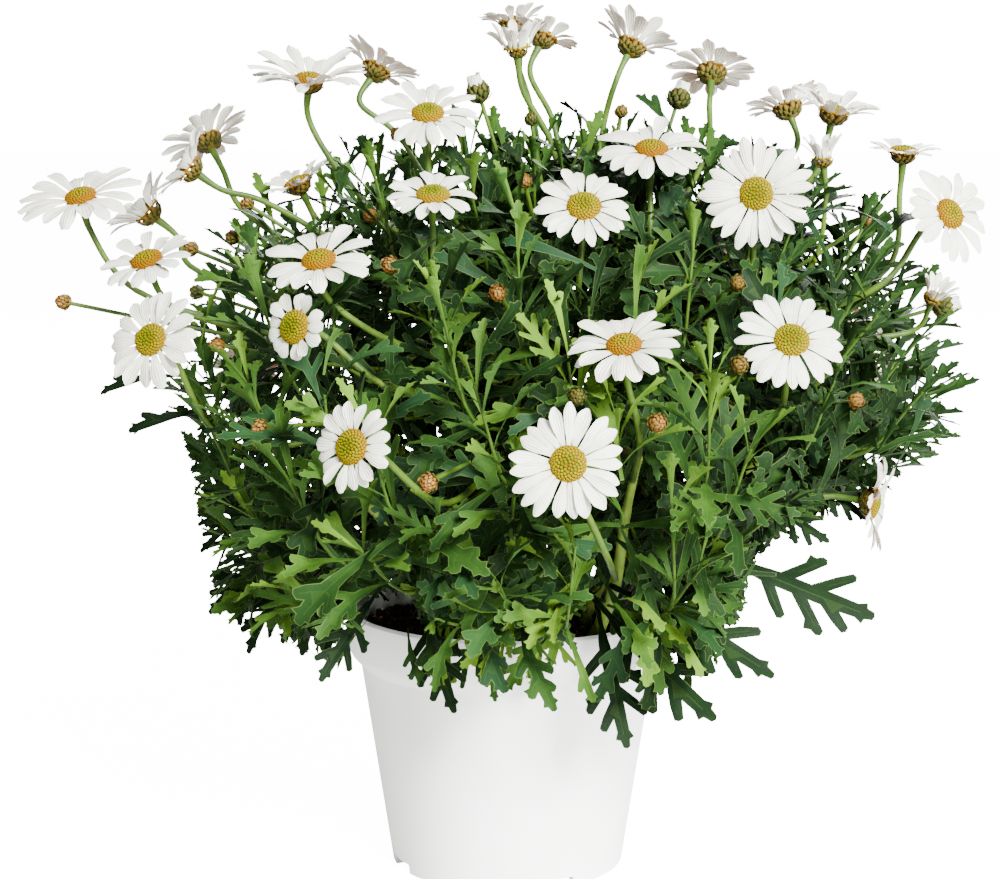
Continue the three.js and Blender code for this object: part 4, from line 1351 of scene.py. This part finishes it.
def heart_leaves(foliage):
    """Old leaves in the dark middle of the bush."""
    draw = random.Random(HEART_SEED)
    for i in range(HEART_LEAVES):
        direction = spiral_direction(i, HEART_LEAVES, HEART_BOTTOM)
        share = draw.uniform(0.4, 0.76 + 0.09 * ease(0.2, 0.8, abs(direction.x)))
        place = bush_point(direction, share)
        aside = Vector([draw.uniform(-1, 1) for _ in range(3)])
        heading = (direction * 0.5 + UP * 0.4 + aside).normalized()
        turn = leaf_turn(heading, direction + UP * 0.3, draw.uniform(-0.7, 0.7))
        kind = OLD_LEAF if share < 0.6 else draw.choice((FORKED_LEAF, NARROW_LEAF, YOUNG_LEAF))
        length = draw.uniform(*HEART_LEAF_LENGTHS)
        foliage.add_free(place, turn, length, kind, draw.uniform(0.75, 1.0), draw.random())


def single_leaves(foliage):
    """The large leaves that stand out low on the plant, each laid from its foot to its tip."""
    for foot, tip, roll, is_lobed in SINGLE_LEAVES:
        kind = BROAD_LEAF if is_lobed else NARROW_LEAF
        span = Vector(tip) - Vector(foot)
        half_bend = LEAF_KINDS[kind][ARCH] / 2
        turn = leaf_turn(span, TOWARDS_VIEWER, roll) @ Matrix.Rotation(half_bend, 3, "X")
        foliage.add(Vector(foot), turn, 1.02 * span.length, kind, 1.0, 0.3)


def part_of_bush(direction):
    """The piece of foliage that a shoot belongs to."""
    if direction.z > 0.52:
        return "leaves_crown"
    if direction.z < -0.3:
        return "leaves_skirt"
    return "leaves_front" if direction.y < 0 else "leaves_back"


def make_foliage(planting, stalks, finish, shoot_finish):
    box = shape_box("leaf_shapes", [leaf_shape(f"leaf_{k}", k) for k in range(len(LEAF_KINDS))])
    parts = {}
    stems = []
    for i in range(SHOOTS):
        draw = random.Random(SHOOT_SEED + i)
        direction = spiral_direction(i, SHOOTS, SKIRT)
        path = shoot_path(direction, draw)
        foliage = parts.setdefault(part_of_bush(direction), Foliage())
        path = leafy_stem(path, leaves_of_shoot(foliage, path, direction, draw))
        if len(path) > 4:
            shares = path_shares(path)
            stems.append((path, [mix(1.5, 0.7, s) for s in shares], [0.75 * (1 - s) for s in shares]))
    single_leaves(parts["leaves_skirt"])
    heart = Foliage()
    heart_leaves(heart)
    parts["leaves_heart"] = heart
    for name, foliage in parts.items():
        foliage.piece(name, planting, box, finish)
    drop_shapes(*box.objects)
    make_stalks("shoot_stems", stems, stalks, shoot_finish, sides=6)


# Stems and stalks


def make_stalks(name, stems, stalks, finish, sides, ribs=0.0, depth=0.0):
    """One piece of stalks. Each stem is its path, its radii and how woody it is along the way."""
    points, edges, girths, woods = [], [], [], []
    for path, radii, wood in stems:
        first = len(points)
        points += path
        edges += [(first + k, first + k + 1) for k in range(len(path) - 1)]
        girths += [r * MM for r in radii]
        woods += wood
    piece = mesh_object(name, points, edges=edges, attributes={"girth": girths, "wood": woods})
    use_tree(piece, stalks, Sides=sides, Ribs=ribs, Rib_Depth=depth, Finish=finish)
    bake(piece, spent=("girth",))
    settle(piece, ["leafy_plant"])


def main_stem_rows():
    """The main stems, with a swelling every few centimetres, where a leaf stood."""
    rows = []
    for i, (foot, top, radius) in enumerate(MAIN_STEMS):
        foot, top = Vector(foot), Vector(top)
        collar = Vector((foot.x, foot.y, POT_HEIGHT + 2))
        between = FRONT_STEM if i == 0 else [collar, collar.lerp(top, 0.5) + UP * 6]
        path = smooth_path([foot, *between, top], 8)
        shares = path_shares(path)
        radii = []
        for share in shares:
            knot = max(math.cos(share * STEM_KNOTS * math.pi), 0) ** 6
            radii.append(radius * mix(1.05, 0.45, share) * (1 + 0.14 * knot))
        rows.append((path, radii, [1.1 - 2.2 * share for share in shares]))
    return rows


def stalk_path(head):
    top = head["place"] + head["normal"] * (CUP_TOP - 1)
    below = head["place"] - head["normal"] * (CUP_HEIGHT + STALK_NECK)
    bend = Vector(head["bend"])
    root = FRONT_BRANCHES.get(head["id"], bush_point((bend - BUSH_MIDDLE).normalized(), STALK_ROOT))
    return smooth_path([Vector(root), bend, below, top], 9)


def flower_stalk_rows():
    rows = []
    for head in HEAD_ROWS:
        path = stalk_path(head)
        scale = 1.0 if head["radius"] > SMALL_HEAD else 0.8
        radii = [scale * (STALK_RADIUS + 0.8 * ease(0.9, 1, share)) for share in path_shares(path)]
        rows.append((path, radii, [0.0] * len(path)))
    return rows


def bud_stalk_rows():
    rows = []
    for place in BUDS:
        at = Vector(place)
        direction = (at - BUSH_MIDDLE).normalized()
        root = bush_point(direction, BUD_ROOT)
        sag = root.lerp(at, 0.5) - UP * 2
        path = smooth_path([root, sag, at - direction * (0.45 * BUD_RADIUS)], 8)
        rows.append((path, [BUD_STALK_RADIUS] * len(path), [0.0] * len(path)))
    return rows


# Heads


def ray_shape(name, curl, cup, notch):
    """A ray one length long and two across: closed, thin, with a rounded and notched tip."""
    columns = (-1, -RAY_GROOVE, 0, RAY_GROOVE, 1)
    rows = (0, 0.1, 0.26, 0.44, 0.62, 0.78, 0.9, 1.0)
    points, acrosses, alongs = [], [], []

    def spot(c, r, lift):
        x, y = columns[c], rows[r]
        width = mix(0.34, 1.0, ease(0, 0.62, y)) * (1 - 0.45 * ease(0.76, 1.0, y))
        half = RAY_GROOVE / 2
        dent = notch * (1 - abs(abs(x) - half) / half) * (abs(x) < RAY_GROOVE)
        end = y - (0.08 * x * x + dent) * ease(0.85, 1, y)
        groove = -0.016 * (abs(abs(x) - RAY_GROOVE) < 0.01) * ease(0.02, 0.2, y)
        drop = -curl * y * y + 0.06 * math.sin(math.pi * y)
        return (x * width, end, drop + cup * x * x * ease(0.1, 0.6, y) + groove + lift)

    index = {}
    for r in range(len(rows)):
        for c in range(len(columns)):
            rim = c in (0, len(columns) - 1) or r in (0, len(rows) - 1)
            for side in (1, -1):
                if rim and side < 0:
                    index[c, r, side] = index[c, r, 1]
                    continue
                index[c, r, side] = len(points)
                points.append(spot(c, r, 0 if rim else side * RAY_THICKNESS / 2))
                acrosses.append(float(columns[c]))
                alongs.append(float(rows[r]))
    faces = []
    for r in range(len(rows) - 1):
        for c in range(len(columns) - 1):
            around = ((c, r), (c + 1, r), (c + 1, r + 1), (c, r + 1))
            faces.append(tuple(index[a, b, 1] for a, b in around))
            faces.append(tuple(index[a, b, -1] for a, b in reversed(around)))
    measures = {"across": acrosses, "along": alongs}
    return crisp_blade(mesh_object(name, points, faces, attributes=measures, unit=1))


def ray_shapes():
    return shape_box("ray_shapes", [ray_shape(f"ray_{k}", *way) for k, way in enumerate(RAY_WAYS)])


def floret_shape():
    """A floret: a small five-sided horn with a hollow, its depth stored for painted shade."""
    points, painted_shade_depths, faces = [], [], []
    for radius, height, depth in ((0.55, -0.4, 0.8), (1.0, 0.9, 0.0), (0.42, 1.0, 0.1)):
        for k in range(FLORET_SIDES):
            angle = math.tau * k / FLORET_SIDES
            points.append((radius * math.cos(angle), radius * math.sin(angle), height))
            painted_shade_depths.append(depth)
    points += [(0, 0, 0.72), (0, 0, -0.5)]
    painted_shade_depths += [1.0, 0.8]
    mouth, hollow = FLORET_SIDES, 2 * FLORET_SIDES
    bottom = 3 * FLORET_SIDES
    for k in range(FLORET_SIDES):
        after = (k + 1) % FLORET_SIDES
        faces.append((k, after, mouth + after, mouth + k))
        faces.append((mouth + k, mouth + after, hollow + after, hollow + k))
        faces.append((hollow + k, hollow + after, bottom))
        faces.append((after, k, bottom + 1))
    floret = mesh_object("floret_shape", points, faces, attributes={"depth": painted_shade_depths}, unit=1)
    smooth(floret)
    return floret


def bract_shape():
    """A bract: a closed pointed scale, one long, its foot at the origin and its tip on +Y."""
    half = ((0.3, 0.0), (0.44, 0.3), (0.4, 0.62), (0.22, 0.9))
    edge = [*half, (0, 1.05), *[(-x, y) for x, y in reversed(half)]]
    rib = ((0, 0.12), (0, 0.45), (0, 0.78))
    points = [(x, y, 0.1 * y * y) for x, y in edge]
    points += [(x, y, 0.12) for x, y in rib] + [(x, y, 0.03) for x, y in rib]
    sides = len(edge)
    last = sides - 1
    faces = []
    for side, flip in ((0, False), (3, True)):
        low, middle, high = sides + side, sides + side + 1, sides + side + 2
        above = [(0, low, last), (0, 1, middle, low), (last, low, middle, last - 1),
                 (1, 2, high, middle), (last - 1, middle, high, last - 2),
                 (2, 3, 4, high), (last - 2, high, 4, last - 3)]
        faces += [tuple(reversed(face)) for face in above] if flip else above
    measure = [0.0] * sides + [1.0] * 3 + [-1.0] * 3
    return smooth_shell(mesh_object("bract_shape", points, faces, attributes={"blade": measure}, unit=1))


def rounded_seat(name, radius, height, lowest, attributes):
    """A closed rounded body under florets or bracts, from its lowest share of the height to its top."""
    outline = [(0, lowest * height)]
    for ring in range(SEAT_RINGS):
        rise = mix(lowest, 1, ring / SEAT_RINGS)
        outline.append((radius * math.sqrt(max(1 - rise * rise, 0.02)), height * rise))
    outline.append((0, height))
    points, faces = turned(outline, SEAT_SIDES)
    values = {title: [value] * len(points) for title, value in attributes.items()}
    return smooth_shell(mesh_object(name, points, faces, attributes=values))


def disc_size(head):
    radius = min(DISC_RADIUS, 0.5 * head["radius"])
    return radius, DISC_HEIGHT * radius / DISC_RADIUS


def grow(name, tree, place, **values):
    """A piece that a tree makes by itself, stood in its place."""
    piece = bake(use_tree(mesh_object(name, []), tree, **values))
    piece.data.transform(place)
    return piece


def grow_scales(name, scales, place, seat, **values):
    """A seat covered with scales, stood in its place."""
    piece = grow(name, scales, place, Seat=seat, **values)
    drop_shapes(seat)
    return piece


def make_rays(head, ring, box, finish):
    radius = head["radius"]
    rise = math.radians(head["rise"])
    hub = disc_size(head)[0] * RAY_FOOT
    length = (radius - hub) / math.cos(rise)
    width = min(0.98 * math.pi * mix(hub, radius, 0.68) / head["rays"], WIDEST_RAY)
    piece = grow(f"bloom_{head['id']}_petals", ring, head_frame(head), Shapes=box, Kinds=len(RAY_WAYS),
                 Count=head["rays"], Ring_Radius=hub * MM, Length=length * MM, Width=width * MM,
                 Rise=rise, Spread=0.42, Layer_Gap=0.55 * MM, Seed=int(head["id"]), Finish=finish)
    settle(piece, [f"bloom_{head['id']}_rays"])


def make_disc(head, scales, floret, finish):
    radius, height = disc_size(head)
    # The seat between the florets gets a depth, so that its finish paints it dark as painted shade.
    seat = rounded_seat("disc_seat", 0.93 * radius, 0.8 * height, 0, {"depth": 0.9})
    piece = grow_scales(f"bloom_{head['id']}_florets", scales, head_frame(head), seat, Scale_Shape=floret,
                        Count=int(2.0 * radius * radius), Radius=0.9 * radius * MM,
                        Height=0.78 * height * MM, Top=0.999, Bottom=0.03, Top_Size=0.73 * MM,
                        Bottom_Size=0.64 * MM, Tilt=0.0, Ripeness=mix(0.0, 0.64, head["age"]),
                        Ripening=mix(1.1, 0.65, head["age"]), Foot_Green=0.0, Seed=int(head["id"]),
                        Finish=finish)
    own = f"bloom_{head['id']}_disc" if head["own_disc"] else f"bloom_{head['id']}_rays"
    settle(piece, [own])


def join_pieces(name, parts):
    """One piece from several of the same finish."""
    whole = bmesh.new()
    for part in parts:
        whole.from_mesh(part.data)
    piece = body_object(name, whole, unit=1)
    piece.data.materials.append(parts[0].data.materials[0])
    drop_shapes(*parts)
    smooth(piece)
    return piece


def make_cups(scales, bract, finish):
    """The green cups of bracts that hold the heads."""
    cups = []
    for head in HEAD_ROWS:
        scale = min(1, max(SMALLEST_CUP, head["radius"] / FULL_CUP_HEAD))
        radius, height = CUP_RADIUS * scale, CUP_HEIGHT * scale
        place = head_frame(head) @ Matrix.Translation((0, 0, CUP_TOP * MM))
        seat = rounded_seat("cup_seat", 0.9 * radius, -height, 0, {"blade": 1.0})
        cups.append(grow_scales(f"cup_{head['id']}", scales, place, seat, Scale_Shape=bract,
                                Count=CUP_BRACTS, Radius=0.92 * radius * MM, Height=0.96 * height * MM,
                                Top=-0.25, Bottom=-0.95, Top_Size=4.4 * scale * MM,
                                Bottom_Size=3.0 * scale * MM, Tilt=-0.12, Ripeness=0.5, Ripening=0.2,
                                Foot_Green=0.6, Seed=int(head["id"]), Finish=finish))
    settle(join_pieces("flower_cups", cups), ["leafy_plant"])


def make_buds(scales, bract, finish):
    """Closed buds, wrapped in bracts: some still green, most tan."""
    buds = []
    for i, place in enumerate(BUDS):
        draw = random.Random(BUD_SEED + i)
        radius = OPENING_RADIUS if place in OPENING_BUDS else BUD_RADIUS * draw.uniform(0.78, 0.96)
        seat = rounded_seat("bud_seat", 0.84 * radius, 0.84 * radius, -0.95, {"blade": 1.0})
        tan = draw.choice((0.25, 0.55, 0.75, 0.85, 0.95))
        buds.append(grow_scales(f"bud_{i}", scales, bud_frame(place), seat, Scale_Shape=bract,
                                Count=BUD_BRACTS, Radius=0.86 * radius * MM,
                                Height=0.86 * radius * MM, Top=0.9, Bottom=-0.92,
                                Top_Size=0.65 * radius * MM,
                                Bottom_Size=0.67 * radius * MM, Tilt=-0.16, Ripeness=tan, Ripening=0.2,
                                Foot_Green=0.6, Seed=i, Finish=finish))
    settle(join_pieces("closed_buds", buds), ["leafy_plant"])


def make_white_tufts(ring, box, finish):
    """White ray tips that show at the top of the buds that have begun to open."""
    tufts = []
    for i, place in enumerate(OPENING_BUDS):
        top = bud_frame(place) @ Matrix.Translation((0, 0, 0.45 * OPENING_RADIUS * MM))
        tufts.append(grow(f"tuft_{i}", ring, top, Shapes=box, Kinds=len(RAY_WAYS), Count=OPENING_TIPS,
                          Ring_Radius=0.68 * OPENING_RADIUS * MM, Length=0.95 * OPENING_RADIUS * MM,
                          Width=1.5 * MM, Rise=math.radians(110), Spread=0.2, Layer_Gap=0.6 * MM,
                          Seed=i, Finish=finish))
    settle(join_pieces("opening_bud_tips", tufts))


def make_heads(finishes):
    scales = scales_tree()
    ring = ray_ring_tree()
    box = ray_shapes()
    floret = floret_shape()
    bract = bract_shape()
    for head in HEAD_ROWS:
        make_rays(head, ring, box, finishes["ray"])
        make_disc(head, scales, floret, finishes["floret"])
    make_cups(scales, bract, finishes["bract"])
    make_buds(scales, bract, finishes["bract"])
    make_white_tufts(ring, box, finishes["ray"])
    drop_shapes(floret, bract, *box.objects)


# Floor, light and camera


def seen_or_lit(nodes, seen, lit):
    """One strength as the camera sees it, and another as it lights the plant."""
    is_seen = nodes.add("ShaderNodeLightPath").outputs["Is Camera Ray"]
    return nodes.scaled(is_seen, seen - lit, lit)


def make_floor():
    slab = [(0, -30), (FLOOR_REACH, -30), (FLOOR_REACH, -0.2), (0, -0.2)]
    floor = mesh_object("floor", *turned(slab, 96))
    pale = Finish("pale_floor", Roughness=0.9, Emission_Color=(1, 1, 1, 1))
    spots = pale.masks(MOTTLE, 6, 300)
    pale.feed(pale.shader.inputs["Base Color"], pale.tint(spots["Blotches"], "#c4c4c2", "#bebebc"))
    pale.feed(pale.shader.inputs["Emission Strength"], seen_or_lit(pale, 0.9 * WHITE_SEEN, 0.0))
    floor.data.materials.append(pale.material)


def soft_light(name, place, target, size, power):
    lamp = bpy.data.lights.new(name, "AREA")
    lamp.shape = "DISK"
    lamp.size = size
    lamp.energy = power
    holder = add_object(name, lamp)
    holder.location = place
    holder.rotation_euler = (Vector(target) - Vector(place)).to_track_quat("-Z", "Y").to_euler()


def make_studio():
    world = bpy.data.worlds.new("studio")
    world.use_nodes = True
    sky = world.node_tree.nodes["Background"]
    sky.inputs["Color"].default_value = (1, 1, 1, 1)
    nodes = Nodes(world.node_tree)
    nodes.feed(sky.inputs["Strength"], seen_or_lit(nodes, WHITE_SEEN, SKY_LIGHT))
    bpy.context.scene.world = world
    for lamp in LAMPS:
        soft_light(*lamp)
    make_floor()


def make_camera():
    lens = bpy.data.cameras.new("camera")
    lens.lens = CAMERA_LENS
    lens.sensor_width = SENSOR_WIDTH
    lens.clip_start, lens.clip_end = CAMERA_CLIP
    camera = add_object("camera", lens)
    camera.location = CAMERA_PLACE * MM
    camera.rotation_euler = Euler((math.radians(90 - CAMERA_PITCH), 0, 0))
    bpy.context.scene.camera = camera


def make_plant():
    planting = planting_tree()
    stalks = stalk_tree()
    shoot = stem_finish("shoot_green", "#344c12", "#283e0f", "#34301c")
    stem = stem_finish("stem_green", "#728a34", "#5e782a", "#544a2a")
    stalk = stem_finish("stalk_green", "#3c5214", "#2a3f10", "#444420")
    finishes = {"ray": ray_finish(), "floret": floret_finish(), "bract": bract_finish()}
    make_foliage(planting, stalks, leaf_finish(), shoot)
    make_stalks("main_stems", main_stem_rows(), stalks, stem, sides=14)
    make_stalks("flower_stalks", flower_stalk_rows(), stalks, stalk, sides=12, ribs=6.0, depth=0.05)
    make_stalks("bud_stalks", bud_stalk_rows(), stalks, stalk, sides=8)
    make_heads(finishes)


make_camera()
make_studio()
make_pot(pot_finish())
make_soil(soil_finish(), crumb_finish(), crumbs_tree())
make_plant()

bpy.context.view_layer.update()
